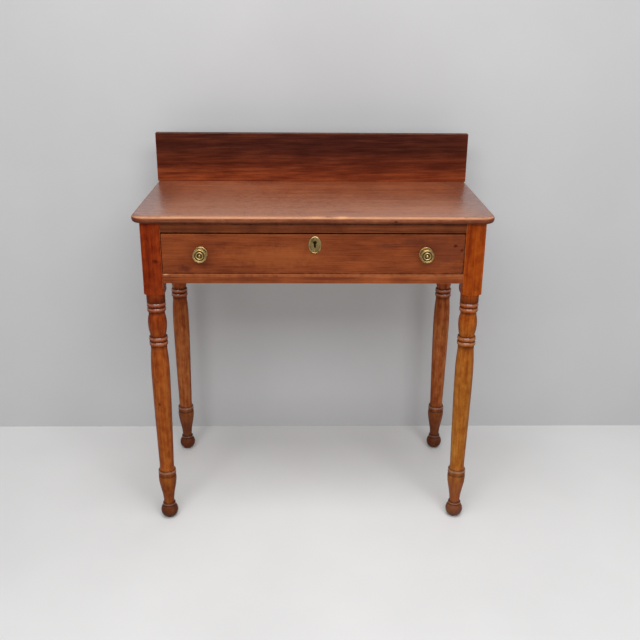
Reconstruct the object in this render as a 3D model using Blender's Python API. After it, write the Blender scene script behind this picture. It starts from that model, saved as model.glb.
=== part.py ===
"""A washstand: four turned legs, an apron with one drawer, a top board and a backsplash.

Lengths are metres. X runs to the viewer's right, Y towards the back and Z up. The origin lies on
the floor, at the middle of the outline, which reaches from the knobs to the top's rear edge.
"""

from math import acos, asin, cos, degrees, pi, radians, sin, sqrt

import bmesh
import bpy
from mathutils import Matrix, Vector

# Fits between pieces
GAP = 0.0003
DRAWER_END_GAP = 0.0013
DRAWER_HEAD_GAP = 0.0037
DRAWER_FOOT_GAP = 0.0007
DRAWER_REAR_GAP = 0.012
STOP_CLEARANCE = 0.0013

# Top board and backsplash
TOP_HEIGHT = 0.7975
TOP_WIDTH = 0.8176
TOP_DEPTH = 0.4165
TOP_THICKNESS = 0.0168
TOP_CORNER_RADIUS = 0.019
TOP_EDGE_RADIUS = 0.007
FRONT_OVERHANG = 0.0145
END_OVERHANG = 0.019
REAR_OVERHANG = 0.0015
BACKSPLASH_HEIGHT = 0.1255
BACKSPLASH_THICKNESS = 0.019
BACKSPLASH_ARRIS = 0.0012

# Rails, aprons and strips of the frame
POST = 0.045
POST_DROP = 0.0299
UPPER_RAIL_HEIGHT = 0.023
LOWER_RAIL_HEIGHT = 0.0223
DRAWER_OPENING = 0.0975
RAIL_SETBACK = 0.0008
RAIL_TAIL = 0.006
BEAD_RADIUS = 0.0024
BEAD_QUIRK = 0.0012
APRON_THICKNESS = 0.020
BACK_THICKNESS = 0.018
APRON_SETBACK = 0.002
TENON_LENGTH = 0.018
TENON_THICKNESS = 0.009
TENON_SHOULDER = 0.014
RAIL_TENON_WIDTH = 0.026
RAIL_TENON_SHOULDER = 0.005
DOVETAIL_LENGTH = 0.018
DOVETAIL_NECK = 0.018
DOVETAIL_FLARE = 0.003
RUNNER_LEDGE = 0.024
RUNNER_THICKNESS = 0.018
GUIDE_HEIGHT = 0.022
KICKER_WIDTH = 0.024
STRIP_TENON_LENGTH = 0.009
STRIP_TENON_WIDTH = 0.012
STRIP_TENON_THICKNESS = 0.008
STOP_LENGTH = 0.036
STOP_DEPTH = 0.014
STOP_SPACING = 0.400
GLUE_BLOCK_LENGTH = 0.060
GLUE_BLOCK_RELIEF = 0.004
SIDE_BLOCK_SPACING = 0.150
BACK_BLOCK_SPACING = 0.340

# Turning of the legs: foot and ankle from the floor up, head from the square post down
TURNING_SKIM = 0.0003
FOOT_RADIUS = 0.0215
FOOT_FLAT = 0.008
COLLAR_RADIUS = 0.0162
COLLAR_CUT = 0.0012
COLLAR_HEIGHT = 0.006
ANKLE_NECK_RADIUS = 0.0131
ANKLE_NECK_LENGTH = 0.005
ANKLE_VASE_LENGTH = 0.070
ANKLE_LIP = 0.005
ANKLE_LIP_CUT = 0.0004
ANKLE_GROOVE = 0.0025
ANKLE_RING_HEIGHT = 0.015
ANKLE_RING_CUT = 0.0022
ANKLE_FLARE = 0.0095
SHAFT_FOOT_RADIUS = 0.0177
SHAFT_SHOULDER = 0.072
SHAFT_NECK_RADIUS = 0.0193
SHAFT_NECK_LENGTH = 0.010
RING_HEIGHT = 0.0123
RING_CUT = 0.0034
VASE_FOOT_RADIUS = 0.0184
VASE_FOOT_LENGTH = 0.003
VASE_BODY_LENGTH = 0.029
VASE_SHOULDER_LENGTH = 0.023
VASE_NECK_RADIUS = 0.0190
VASE_HEAD_LENGTH = 0.006
COLUMN_CUT = 0.0005
COLUMN_LENGTH = 0.0205
POMMEL_RISE = 0.012

# Drawer box
DRAWER_SETBACK = 0.001
DRAWER_FRONT_THICKNESS = 0.020
DRAWER_LAP = 0.005
DRAWER_SIDE_THICKNESS = 0.011
DRAWER_SIDE_DROP = 0.005
DRAWER_BACK_THICKNESS = 0.010
DRAWER_BACK_DROP = 0.005
TAIL_COUNT = 3
TAIL_NECK = 0.017
TAIL_FLARE = 0.0025
REAR_TAIL_NECK = 0.014
REAR_TAIL_FLARE = 0.0017
GROOVE_LIFT = 0.009
GROOVE_DEPTH = 0.005
BOTTOM_THICKNESS = 0.008
BOTTOM_EDGE = 0.005
BOTTOM_BEVEL = 0.035
BOTTOM_PLAY = 0.0006
NAIL_SIZE = 0.0024
NAIL_LENGTH = 0.024
NAIL_HEAD_SIZE = 0.0044
NAIL_HEAD_HEIGHT = 0.0012
NAIL_SPACING = 0.250

# Knobs
KNOB_SPACING = 0.512
KNOB_LIFT = 0.002
KNOB_RADIUS = 0.0158
KNOB_BACK_DEPTH = 0.0045
KNOB_RIM = 0.0016
KNOB_RING_COUNT = 3
KNOB_RING_WIDTH = 0.0033
KNOB_RING_RISE = 0.0014
KNOB_RING_GAP = 0.0006
KNOB_BUTTON_RISE = 0.0026
KNOB_SEAT_RADIUS = 0.0065
KNOB_SOCKET_DEPTH = 0.0048
SPINDLE_BOLT_RADIUS = 0.0025
SPINDLE_NOSE_RADIUS = 0.003
SPINDLE_NOSE_LENGTH = 0.0042
SPINDLE_NECK_RADIUS = 0.0052
SPINDLE_NECK_LENGTH = 0.0125
SPINDLE_FLANGE_RADIUS = 0.0088
SPINDLE_FLANGE_HEIGHT = 0.0012
SPINDLE_TAIL = 0.0025
BACKPLATE_RADIUS = 0.0158
BACKPLATE_THICKNESS = 0.0022
BACKPLATE_EDGE = 0.0009
NUT_WIDTH = 0.010
NUT_THICKNESS = 0.0035

# Lock and escutcheon
LOCK_OFFSET = 0.003
LOCK_WIDTH = 0.044
LOCK_HEIGHT = 0.037
LOCK_DEPTH = 0.0112
LOCK_WALL = 0.0015
LOCK_PLATE_WIDTH = 0.068
LOCK_PLATE_DROP = 0.006
LOCK_PLATE_THICKNESS = 0.0018
SELVEDGE_THICKNESS = 0.002
BOLT_WIDTH = 0.024
BOLT_SINK = 0.0004
BOLT_THROW = 0.009
BOLT_MORTISE_SPARE = 0.0015
KEY_SPACE_WIDTH = 0.016
KEY_SPACE_DROP = 0.0145
KEYHOLE_DROP = 0.0189
KEYHOLE_RADIUS = 0.0042
KEYHOLE_SLOT_WIDTH = 0.0046
KEYHOLE_SLOT_DROP = 0.0115
KEYHOLE_EASE = 0.0008
LOCK_SCREW_INSET = 0.0055
ESCUTCHEON_WIDTH = 0.030
ESCUTCHEON_HEIGHT = 0.041
ESCUTCHEON_EDGE = 0.0008
ESCUTCHEON_RIM = 0.0018
ESCUTCHEON_RISE = 0.0011
ESCUTCHEON_FIELD = 0.0014
ESCUTCHEON_SINK = 0.0008
ESCUTCHEON_LIFT = 0.0055
ESCUTCHEON_PIN_SPACING = 0.0285
PIN_RADIUS = 0.0007
PIN_HEAD_RADIUS = 0.0012
PIN_HEAD_HEIGHT = 0.0006
PIN_LENGTH = 0.007

# Screws
LOCK_SCREW_RADIUS = 0.0014
LOCK_SCREW_HEAD_RADIUS = 0.0028
LOCK_SCREW_LENGTH = 0.0095
BACKSPLASH_SCREW_RADIUS = 0.0021
BACKSPLASH_SCREW_HEAD_RADIUS = 0.0042
BACKSPLASH_SCREW_BITE = 0.024
BACKSPLASH_SCREW_SPACING = 0.300

# Facets
LEG_FACETS = 16
KNOB_FACETS = 18
SCREW_FACETS = 8
HOLE_FACETS = 12
ESCUTCHEON_FACETS = 28
KEYHOLE_FACETS = 10
CUT_PAST = 0.004

# Places that follow from the sizes above
POST_HALF = POST / 2
WIDEST = POST_HALF - TURNING_SKIM
LEG_X = TOP_WIDTH / 2 - END_OVERHANG - POST_HALF
INNER_X = LEG_X - POST_HALF
APRON_OUTER_X = LEG_X + POST_HALF - APRON_SETBACK
APRON_INNER_X = APRON_OUTER_X - APRON_THICKNESS
KNOB_THICKNESS = KNOB_BACK_DEPTH + KNOB_RIM + KNOB_BUTTON_RISE
KNOB_REACH = 3 * GAP + BACKPLATE_THICKNESS + SPINDLE_NECK_LENGTH + KNOB_THICKNESS
POST_FRONT = (KNOB_REACH - DRAWER_SETBACK - TOP_DEPTH + FRONT_OVERHANG) / 2
TOP_FRONT = POST_FRONT - FRONT_OVERHANG
TOP_REAR = TOP_FRONT + TOP_DEPTH
POST_REAR = TOP_REAR - REAR_OVERHANG
FRONT_LEG_Y = POST_FRONT + POST_HALF
REAR_LEG_Y = POST_REAR - POST_HALF
RAIL_FRONT = POST_FRONT + RAIL_SETBACK
RAIL_REAR = POST_FRONT + POST + RAIL_TAIL
BACK_REAR = POST_REAR - APRON_SETBACK
BACK_FRONT = BACK_REAR - BACK_THICKNESS
UNDERSIDE = TOP_HEIGHT - TOP_THICKNESS
FRAME_TOP = UNDERSIDE - GAP
OPENING_TOP = UNDERSIDE - UPPER_RAIL_HEIGHT
OPENING_BOTTOM = OPENING_TOP - DRAWER_OPENING
APRON_BOTTOM = OPENING_BOTTOM - LOWER_RAIL_HEIGHT
SQUARE_BOTTOM = APRON_BOTTOM - POST_DROP
GLUE_BLOCK = APRON_INNER_X - INNER_X - GLUE_BLOCK_RELIEF
DRAWER_HALF = INNER_X - DRAWER_END_GAP
DRAWER_INNER = DRAWER_HALF - DRAWER_SIDE_THICKNESS
DRAWER_FACE = POST_FRONT + DRAWER_SETBACK
DRAWER_FRONT_REAR = DRAWER_FACE + DRAWER_FRONT_THICKNESS
DRAWER_REAR = BACK_FRONT - DRAWER_REAR_GAP
DRAWER_BACK_FRONT = DRAWER_REAR - DRAWER_BACK_THICKNESS
DRAWER_LOW = OPENING_BOTTOM + DRAWER_FOOT_GAP
DRAWER_TOP = OPENING_TOP - DRAWER_HEAD_GAP
SIDE_LOW = OPENING_BOTTOM + GAP
SIDE_TOP = DRAWER_TOP - DRAWER_SIDE_DROP
GROOVE_LOW = SIDE_LOW + GROOVE_LIFT
GROOVE_MOUTH = BOTTOM_EDGE + (BOTTOM_THICKNESS - BOTTOM_EDGE) * GROOVE_DEPTH / BOTTOM_BEVEL
GROOVE_TOP = GROOVE_LOW + GROOVE_MOUTH + 2 * GAP
BOTTOM_TOP = GROOVE_TOP - GAP
BOTTOM_LOW = BOTTOM_TOP - BOTTOM_THICKNESS
BACK_LOW = BOTTOM_TOP + GAP
BACK_TOP = SIDE_TOP - DRAWER_BACK_DROP
KNOB_Z = (DRAWER_LOW + DRAWER_TOP) / 2 + KNOB_LIFT
KEYHOLE_Z = DRAWER_TOP - KEYHOLE_DROP
ESCUTCHEON_Z = KEYHOLE_Z - ESCUTCHEON_LIFT
LOCK_LOW = DRAWER_TOP - LOCK_HEIGHT
LOCK_FRONT = DRAWER_FRONT_REAR - LOCK_DEPTH
KEY_SPACE_FRONT = LOCK_FRONT + LOCK_WALL
KEY_SPACE_REAR = DRAWER_FRONT_REAR - LOCK_PLATE_THICKNESS
BOLT_SEAT = KEYHOLE_Z + KEYHOLE_RADIUS + LOCK_WALL
BOLT_TOP = DRAWER_TOP - BOLT_SINK
BOLT_Y = (KEY_SPACE_FRONT + KEY_SPACE_REAR) / 2
BACKSPLASH_Y = TOP_REAR - BACKSPLASH_THICKNESS / 2

# Linear colour, roughness and metallic value of each finish
FINISHES = {
    "top_mahogany": ((0.230, 0.068, 0.036), 0.34, 0.0),
    "backsplash_mahogany": ((0.130, 0.030, 0.012), 0.38, 0.0),
    "leg_cherry": ((0.262, 0.074, 0.016), 0.38, 0.0),
    "rail_mahogany": ((0.205, 0.055, 0.020), 0.40, 0.0),
    "drawer_mahogany": ((0.190, 0.050, 0.018), 0.38, 0.0),
    "inner_poplar": ((0.400, 0.225, 0.095), 0.62, 0.0),
    "aged_brass": ((0.330, 0.220, 0.075), 0.36, 1.0),
    "dark_iron": ((0.060, 0.052, 0.046), 0.55, 1.0),
}


def clear_scene():
    """Removes what the scene holds, so that the model starts from nothing."""
    for old in list(bpy.data.objects):
        bpy.data.objects.remove(old, do_unlink=True)


def finish(name):
    """The named finish as a material, made when it is first asked for."""
    if name in bpy.data.materials:
        return bpy.data.materials[name]
    colour, roughness, metallic = FINISHES[name]
    made = bpy.data.materials.new(name)
    made.use_nodes = True
    shader = made.node_tree.nodes["Principled BSDF"]
    shader.inputs["Base Color"].default_value = (*colour, 1.0)
    shader.inputs["Roughness"].default_value = roughness
    shader.inputs["Metallic"].default_value = metallic
    return made


def carrier(name, place, parent=None):
    """An empty that pieces hang on, with its place given in world coordinates."""
    empty = bpy.data.objects.new(name, None)
    bpy.context.scene.collection.objects.link(empty)
    hang(empty, place, parent)
    return empty


def hang(item, place, parent):
    """Puts an object at a world place, under a parent that is itself unturned."""
    item.location = place
    if parent:
        item.parent = parent
        item.matrix_parent_inverse = Matrix.Translation(parent.get("place", (0, 0, 0))).inverted()
    item["place"] = tuple(place)


def mesh_of(name, bm, finish_name=None, smooth=False):
    """Closes a bmesh into a mesh whose faces point out."""
    bmesh.ops.recalc_face_normals(bm, faces=bm.faces)
    mesh = bpy.data.meshes.new(name)
    bm.to_mesh(mesh)
    bm.free()
    if finish_name:
        mesh.materials.append(finish(finish_name))
    if smooth:
        mesh.shade_smooth()
        mesh.set_sharp_from_angle(angle=radians(32))
    return mesh


def place_mesh(name, mesh, place, parent):
    """One piece of the object, from a mesh built about its own origin."""
    piece = bpy.data.objects.new(name, mesh)
    bpy.context.scene.collection.objects.link(piece)
    hang(piece, place, parent)
    return piece


def piece_in_place(name, bm, finish_name, parent, smooth=False):
    """One piece from a bmesh built in world coordinates, with its origin at its middle."""
    lows = [min(v.co[i] for v in bm.verts) for i in range(3)]
    highs = [max(v.co[i] for v in bm.verts) for i in range(3)]
    middle = (Vector(lows) + Vector(highs)) / 2
    bmesh.ops.translate(bm, verts=bm.verts, vec=-middle)
    return place_mesh(name, mesh_of(name, bm, finish_name, smooth), middle, parent)


def combine(piece, operation, label, bm):
    """Cuts a piece with a helper solid, joins it to one or keeps what they share."""
    helper = bpy.data.objects.new(f"{piece.name}_{label}", mesh_of(label, bm))
    bpy.context.scene.collection.objects.link(helper)
    helper.hide_render = True
    helper.display_type = "WIRE"
    modifier = piece.modifiers.new(label, "BOOLEAN")
    modifier.operation = operation
    modifier.object = helper


def add_box(bm, low, high):
    """Adds a box between two corners."""
    low, high = Vector(low), Vector(high)
    place = Matrix.Translation((low + high) / 2) @ Matrix.Diagonal((high - low).to_4d())
    bmesh.ops.create_cube(bm, size=1.0, matrix=place)


def add_prism(bm, outline, axis, start, end):
    """Extrudes an outline along an axis: 0, 1 or 2. Its pairs are the other two coordinates, in order."""
    first, second = (i for i in range(3) if i != axis)
    corners = []
    for pair in outline:
        point = [start, start, start]
        point[first], point[second] = pair
        corners.append(bm.verts.new(point))
    face = bm.faces.new(corners)
    grown = bmesh.ops.extrude_face_region(bm, geom=[face])["geom"]
    push = Vector((0, 0, 0))
    push[axis] = end - start
    bmesh.ops.translate(bm, verts=[g for g in grown if isinstance(g, bmesh.types.BMVert)], vec=push)


def add_turning(bm, profile, facets):
    """Turns a profile of radius and height about Z."""
    verts = [bm.verts.new((radius, 0, height)) for radius, height in profile]
    edges = [bm.edges.new(pair) for pair in zip(verts, verts[1:])]
    bmesh.ops.spin(
        bm, geom=verts + edges, cent=(0, 0, 0), axis=(0, 0, 1), angle=2 * pi, steps=facets, use_merge=True
    )
    bmesh.ops.remove_doubles(bm, verts=bm.verts, dist=1e-6)


def face_forward(bm):
    """Turns a bmesh built along +Z so that it looks towards the viewer, along -Y."""
    bmesh.ops.rotate(bm, verts=bm.verts, cent=(0, 0, 0), matrix=Matrix.Rotation(pi / 2, 3, "X"))


def add_bore(bm, centre, axis, radius, start, end):
    """Adds a round bar along an axis, to cut a hole with. The centre is in the other two coordinates."""
    turns = [2 * pi * i / HOLE_FACETS for i in range(HOLE_FACETS)]
    outline = [(centre[0] + radius * cos(t), centre[1] + radius * sin(t)) for t in turns]
    add_prism(bm, outline, axis, start, end)


def arc(centre_r, centre_z, size_r, size_z, start, end, steps):
    """Points of an elliptical arc, with angles in degrees from the outward direction."""
    angles = [radians(start + (end - start) * i / steps) for i in range(steps + 1)]
    return [(centre_r + size_r * cos(a), centre_z + size_z * sin(a)) for a in angles]


def bead(low, high, root, crest, steps=4):
    """Points of a half-round ring between two heights."""
    return arc(root, (low + high) / 2, crest - root, (high - low) / 2, -90, 90, steps)


def sweep(low, high, shape, steps):
    """Points from one radius and height to another, with shape giving the share of the way from 0 to 1."""
    shares = [i / steps for i in range(1, steps + 1)]
    return [(low[0] + (high[0] - low[0]) * shape(t), low[1] + (high[1] - low[1]) * t) for t in shares]


def ease(t):
    """A share that starts and ends level."""
    return t * t * (3 - 2 * t)


def swell(t):
    """A share that starts steeply and ends level."""
    return 1 - (1 - t) ** 2


def entasis(t):
    """A share that rises almost straight and then rounds over, as the swelling of a shaft does."""
    return (t + sin(pi / 2 * t)) / 2


def without_repeats(points):
    """The points of a profile, with those that repeat the one before left out."""
    kept = points[:1]
    for point in points[1:]:
        if (Vector(point) - Vector(kept[-1])).length > 1e-6:
            kept.append(point)
    return kept


def leg_profile():
    """Radius and height of a leg's turning, from the floor to above the post."""
    collar_root = COLLAR_RADIUS - COLLAR_CUT
    ball_z = sqrt(FOOT_RADIUS**2 - FOOT_FLAT**2)
    foot_top = ball_z + sqrt(FOOT_RADIUS**2 - collar_root**2)
    flat_angle = -degrees(acos(FOOT_FLAT / FOOT_RADIUS))
    collar_angle = degrees(acos(collar_root / FOOT_RADIUS))
    collar_top = foot_top + COLLAR_HEIGHT
    neck_top = collar_top + ANKLE_NECK_LENGTH
    vase_top = neck_top + ANKLE_VASE_LENGTH
    lip_top = vase_top + ANKLE_LIP
    ring_low = lip_top + ANKLE_GROOVE
    ring_top = ring_low + ANKLE_RING_HEIGHT
    shaft_low = ring_top + ANKLE_FLARE

    upper_rings_top = SQUARE_BOTTOM - COLUMN_LENGTH
    upper_rings_low = upper_rings_top - 2 * RING_HEIGHT
    vase_neck = upper_rings_low - VASE_HEAD_LENGTH
    vase_belly = vase_neck - VASE_SHOULDER_LENGTH
    vase_low = vase_belly - VASE_BODY_LENGTH
    lower_rings_top = vase_low - VASE_FOOT_LENGTH
    lower_rings_low = lower_rings_top - 2 * RING_HEIGHT
    shaft_neck = lower_rings_low - SHAFT_NECK_LENGTH
    shaft_belly = shaft_neck - SHAFT_SHOULDER

    ankle_root = WIDEST - ANKLE_RING_CUT
    ring_root = WIDEST - RING_CUT
    column = WIDEST - COLUMN_CUT
    beyond_square = 1.5 * POST_HALF

    points = [(0, 0)]
    points += arc(0, ball_z, FOOT_RADIUS, FOOT_RADIUS, flat_angle, collar_angle, 6)
    points += bead(foot_top, collar_top, collar_root, COLLAR_RADIUS, 3)
    points += [(ANKLE_NECK_RADIUS, collar_top), (ANKLE_NECK_RADIUS, neck_top)]
    points += sweep((ANKLE_NECK_RADIUS, neck_top), (WIDEST, vase_top), ease, 4)
    points += [(WIDEST - ANKLE_LIP_CUT, lip_top)]
    points += bead(ring_low, ring_top, ankle_root, WIDEST)
    points += sweep((ankle_root, ring_top), (SHAFT_FOOT_RADIUS, shaft_low), swell, 3)
    points += sweep((SHAFT_FOOT_RADIUS, shaft_low), (WIDEST, shaft_belly), entasis, 4)
    points += sweep((WIDEST, shaft_belly), (SHAFT_NECK_RADIUS, shaft_neck), lambda t: t**2.5, 4)
    for ring_low in (lower_rings_low, lower_rings_low + RING_HEIGHT):
        points += bead(ring_low, ring_low + RING_HEIGHT, ring_root, WIDEST)
    points += [(VASE_FOOT_RADIUS, vase_low)]
    points += sweep((VASE_FOOT_RADIUS, vase_low), (WIDEST, vase_belly), swell, 4)
    points += sweep((WIDEST, vase_belly), (VASE_NECK_RADIUS, vase_neck), lambda t: t**2, 4)
    for ring_low in (upper_rings_low, upper_rings_low + RING_HEIGHT):
        points += bead(ring_low, ring_low + RING_HEIGHT, ring_root, WIDEST)
    points += [(column, upper_rings_top)]
    points += arc(column, SQUARE_BOTTOM + POMMEL_RISE, beyond_square - column, POMMEL_RISE, -90, 0, 4)
    points += [(beyond_square, FRAME_TOP + CUT_PAST), (0, FRAME_TOP + CUT_PAST)]
    return without_repeats(points)


def tenon_slots(leg_x, leg_y):
    """The mortises of one leg: for a side apron, and for a rail or the back apron."""
    side = 1 if leg_x > 0 else -1
    front = leg_y == FRONT_LEG_Y
    mortises = bmesh.new()
    apron_x = (APRON_INNER_X + APRON_OUTER_X) / 2
    reach = GAP + TENON_THICKNESS / 2
    mouth = leg_y + POST_HALF + CUT_PAST if front else leg_y - POST_HALF - CUT_PAST
    depth = TENON_LENGTH + GAP
    floor = leg_y + POST_HALF - depth if front else leg_y - POST_HALF + depth
    add_box(
        mortises,
        (side * apron_x - reach, min(mouth, floor), APRON_BOTTOM + TENON_SHOULDER - GAP),
        (side * apron_x + reach, max(mouth, floor), FRAME_TOP - TENON_SHOULDER + GAP),
    )
    xs = sorted((side * (INNER_X - CUT_PAST), side * (INNER_X + depth)))
    if front:
        middle = leg_y - reach_of_rail_tenon()
        low, high = APRON_BOTTOM + RAIL_TENON_SHOULDER, OPENING_BOTTOM - BEAD_RADIUS - RAIL_TENON_SHOULDER
        add_box(mortises, (xs[0], middle - GAP, low - GAP), (xs[1], leg_y + reach_of_rail_tenon() + GAP, high + GAP))
        outline = [(side * x, y) for x, y in rail_tail(GAP, CUT_PAST)]
        add_prism(mortises, outline, 2, OPENING_TOP - GAP, FRAME_TOP + CUT_PAST)
    else:
        middle = (BACK_FRONT + BACK_REAR) / 2
        low, high = APRON_BOTTOM + TENON_SHOULDER, FRAME_TOP - TENON_SHOULDER
        add_box(mortises, (xs[0], middle - reach, low - GAP), (xs[1], middle + reach, high + GAP))
    return mortises


def reach_of_rail_tenon():
    """Half the width of the lower rail's tenon."""
    return RAIL_TENON_WIDTH / 2


def tail_outline(base, tip, centre, neck, flare, room=0, past_base=0, past_tip=0):
    """The corners of a dovetail that widens from its base to its tip, or of its socket.

    Room is what the socket has to spare on each side. The socket's sides can run on past the tail's
    base and tip, at the tail's own slope.
    """
    slope = flare / abs(tip - base)
    forward = 1 if tip > base else -1
    narrow = neck / 2 + room - slope * past_base
    wide = neck / 2 + flare + room + slope * past_tip
    start, end = base - forward * past_base, tip + forward * past_tip
    return [(start, centre - narrow), (end, centre - wide), (end, centre + wide), (start, centre + narrow)]


def rail_tail(room=0, past_base=0):
    """The upper rail's right-hand dovetail as X and Y, or its socket with room to spare."""
    base, tip = INNER_X - GAP, INNER_X + DOVETAIL_LENGTH
    return tail_outline(base, tip, FRONT_LEG_Y, DOVETAIL_NECK, DOVETAIL_FLARE, room, past_base, room)


def build_legs(frame):
    """Four legs from one turning, each kept inside its square stock and mortised for its neighbours."""
    turning = bmesh.new()
    add_turning(turning, leg_profile(), LEG_FACETS)
    mesh = mesh_of("turned_leg", turning, "leg_cherry", smooth=True)
    for row, leg_y in (("front", FRONT_LEG_Y), ("rear", REAR_LEG_Y)):
        for side, leg_x in (("left", -LEG_X), ("right", LEG_X)):
            leg = place_mesh(f"{row}_{side}_leg", mesh, (leg_x, leg_y, 0), frame)
            stock = bmesh.new()
            add_box(
                stock,
                (leg_x - POST_HALF, leg_y - POST_HALF, -CUT_PAST),
                (leg_x + POST_HALF, leg_y + POST_HALF, FRAME_TOP),
            )
            combine(leg, "INTERSECT", "square_stock", stock)
            combine(leg, "DIFFERENCE", "mortises", tenon_slots(leg_x, leg_y))


def screw_profile(radius, head_radius, length):
    """A countersunk screw with its head's face at zero and its shank along +Z."""
    cone = head_radius - radius
    return [(0, 0), (head_radius, 0), (radius, cone), (radius, length - radius), (0, length)]


def add_screw_hole(bm, place, forward, radius, head_radius, length):
    """A clearance for a countersunk screw, open past its head."""
    profile = screw_profile(radius + GAP, head_radius + GAP, length + GAP)
    past = [(0, -CUT_PAST), (head_radius + GAP, -CUT_PAST)]
    hole = bmesh.new()
    add_turning(hole, past + profile[1:], SCREW_FACETS)
    if forward:
        face_forward(hole)
    bmesh.ops.translate(hole, verts=hole.verts, vec=place)
    bmesh.ops.recalc_face_normals(hole, faces=hole.faces)
    scratch = bpy.data.meshes.new("hole")
    hole.to_mesh(scratch)
    hole.free()
    bm.from_mesh(scratch)
    bpy.data.meshes.remove(scratch)


def backsplash_screw_places():
    """Where the backsplash screws start, with their heads let into the underside of the top."""
    return [(i * BACKSPLASH_SCREW_SPACING, BACKSPLASH_Y, UNDERSIDE) for i in (-1, 0, 1)]


def build_top(frame):
    """The top board, the backsplash that stands on it and the screws between them."""
    board = bmesh.new()
    add_box(board, (-TOP_WIDTH / 2, TOP_FRONT, UNDERSIDE), (TOP_WIDTH / 2, TOP_REAR, TOP_HEIGHT))
    uprights = [e for e in board.edges if is_upright(e) and e.verts[0].co.y < 0]
    bevel(board, uprights, TOP_CORNER_RADIUS, 5)
    rims = [e for e in board.edges if not is_upright(e) and min(v.co.y for v in e.verts) < TOP_REAR - GAP]
    bevel(board, rims, min(TOP_EDGE_RADIUS, 0.45 * TOP_THICKNESS), 3)
    top = piece_in_place("top_board", board, "top_mahogany", frame)

    splash = bmesh.new()
    base = TOP_HEIGHT + GAP
    add_box(
        splash,
        (-TOP_WIDTH / 2, TOP_REAR - BACKSPLASH_THICKNESS, base),
        (TOP_WIDTH / 2, TOP_REAR, base + BACKSPLASH_HEIGHT),
    )
    upper = [e for e in splash.edges if min(v.co.z for v in e.verts) > base + GAP]
    bevel(splash, upper, BACKSPLASH_ARRIS, 2)
    backsplash = piece_in_place("backsplash", splash, "backsplash_mahogany", frame)

    length = TOP_THICKNESS + BACKSPLASH_SCREW_BITE
    for label, piece in (("screw_holes", top), ("screw_pilots", backsplash)):
        holes = bmesh.new()
        for place in backsplash_screw_places():
            add_screw_hole(holes, place, False, BACKSPLASH_SCREW_RADIUS, BACKSPLASH_SCREW_HEAD_RADIUS, length)
        combine(piece, "DIFFERENCE", label, holes)
    shank = bmesh.new()
    add_turning(shank, screw_profile(BACKSPLASH_SCREW_RADIUS, BACKSPLASH_SCREW_HEAD_RADIUS, length), SCREW_FACETS)
    mesh = mesh_of("backsplash_screw", shank, "dark_iron", smooth=True)
    for name, place in zip(("left", "middle", "right"), backsplash_screw_places()):
        place_mesh(f"backsplash_{name}_screw", mesh, place, frame)


def is_upright(edge):
    """Whether an edge runs along Z."""
    return abs(edge.verts[0].co.z - edge.verts[1].co.z) > 10 * GAP


def bevel(bm, edges, width, segments):
    """Rounds edges over."""
    bmesh.ops.bevel(
        bm, geom=edges, offset=width, segments=segments, profile=0.5, affect="EDGES", clamp_overlap=True, material=-1
    )


def strip_tenon(y_start, y_end, x_middle, z_middle, room):
    """Corners of a runner's or a kicker's tenon, or of its mortise with room to spare."""
    half_width = STRIP_TENON_WIDTH / 2 + room
    half_thickness = STRIP_TENON_THICKNESS / 2 + room
    return (
        (x_middle - half_width, y_start, z_middle - half_thickness),
        (x_middle + half_width, y_end, z_middle + half_thickness),
    )


def strip_places():
    """The middle of each runner's and each kicker's tenons, as X and Z."""
    runner = (INNER_X - RUNNER_LEDGE / 2, OPENING_BOTTOM - RUNNER_THICKNESS / 2)
    kicker = (INNER_X - KICKER_WIDTH / 2, (OPENING_TOP + FRAME_TOP) / 2)
    return {"runner": runner, "kicker": kicker}


def front_strip_mortises(kind):
    """Mortises in the rear face of a front rail, for the strips of one kind."""
    x, z = strip_places()[kind]
    mortises = bmesh.new()
    for side in (-1, 1):
        low = RAIL_REAR - STRIP_TENON_LENGTH - GAP
        add_box(mortises, *strip_tenon(low, RAIL_REAR + CUT_PAST, side * x, z, GAP))
    return mortises


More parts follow.
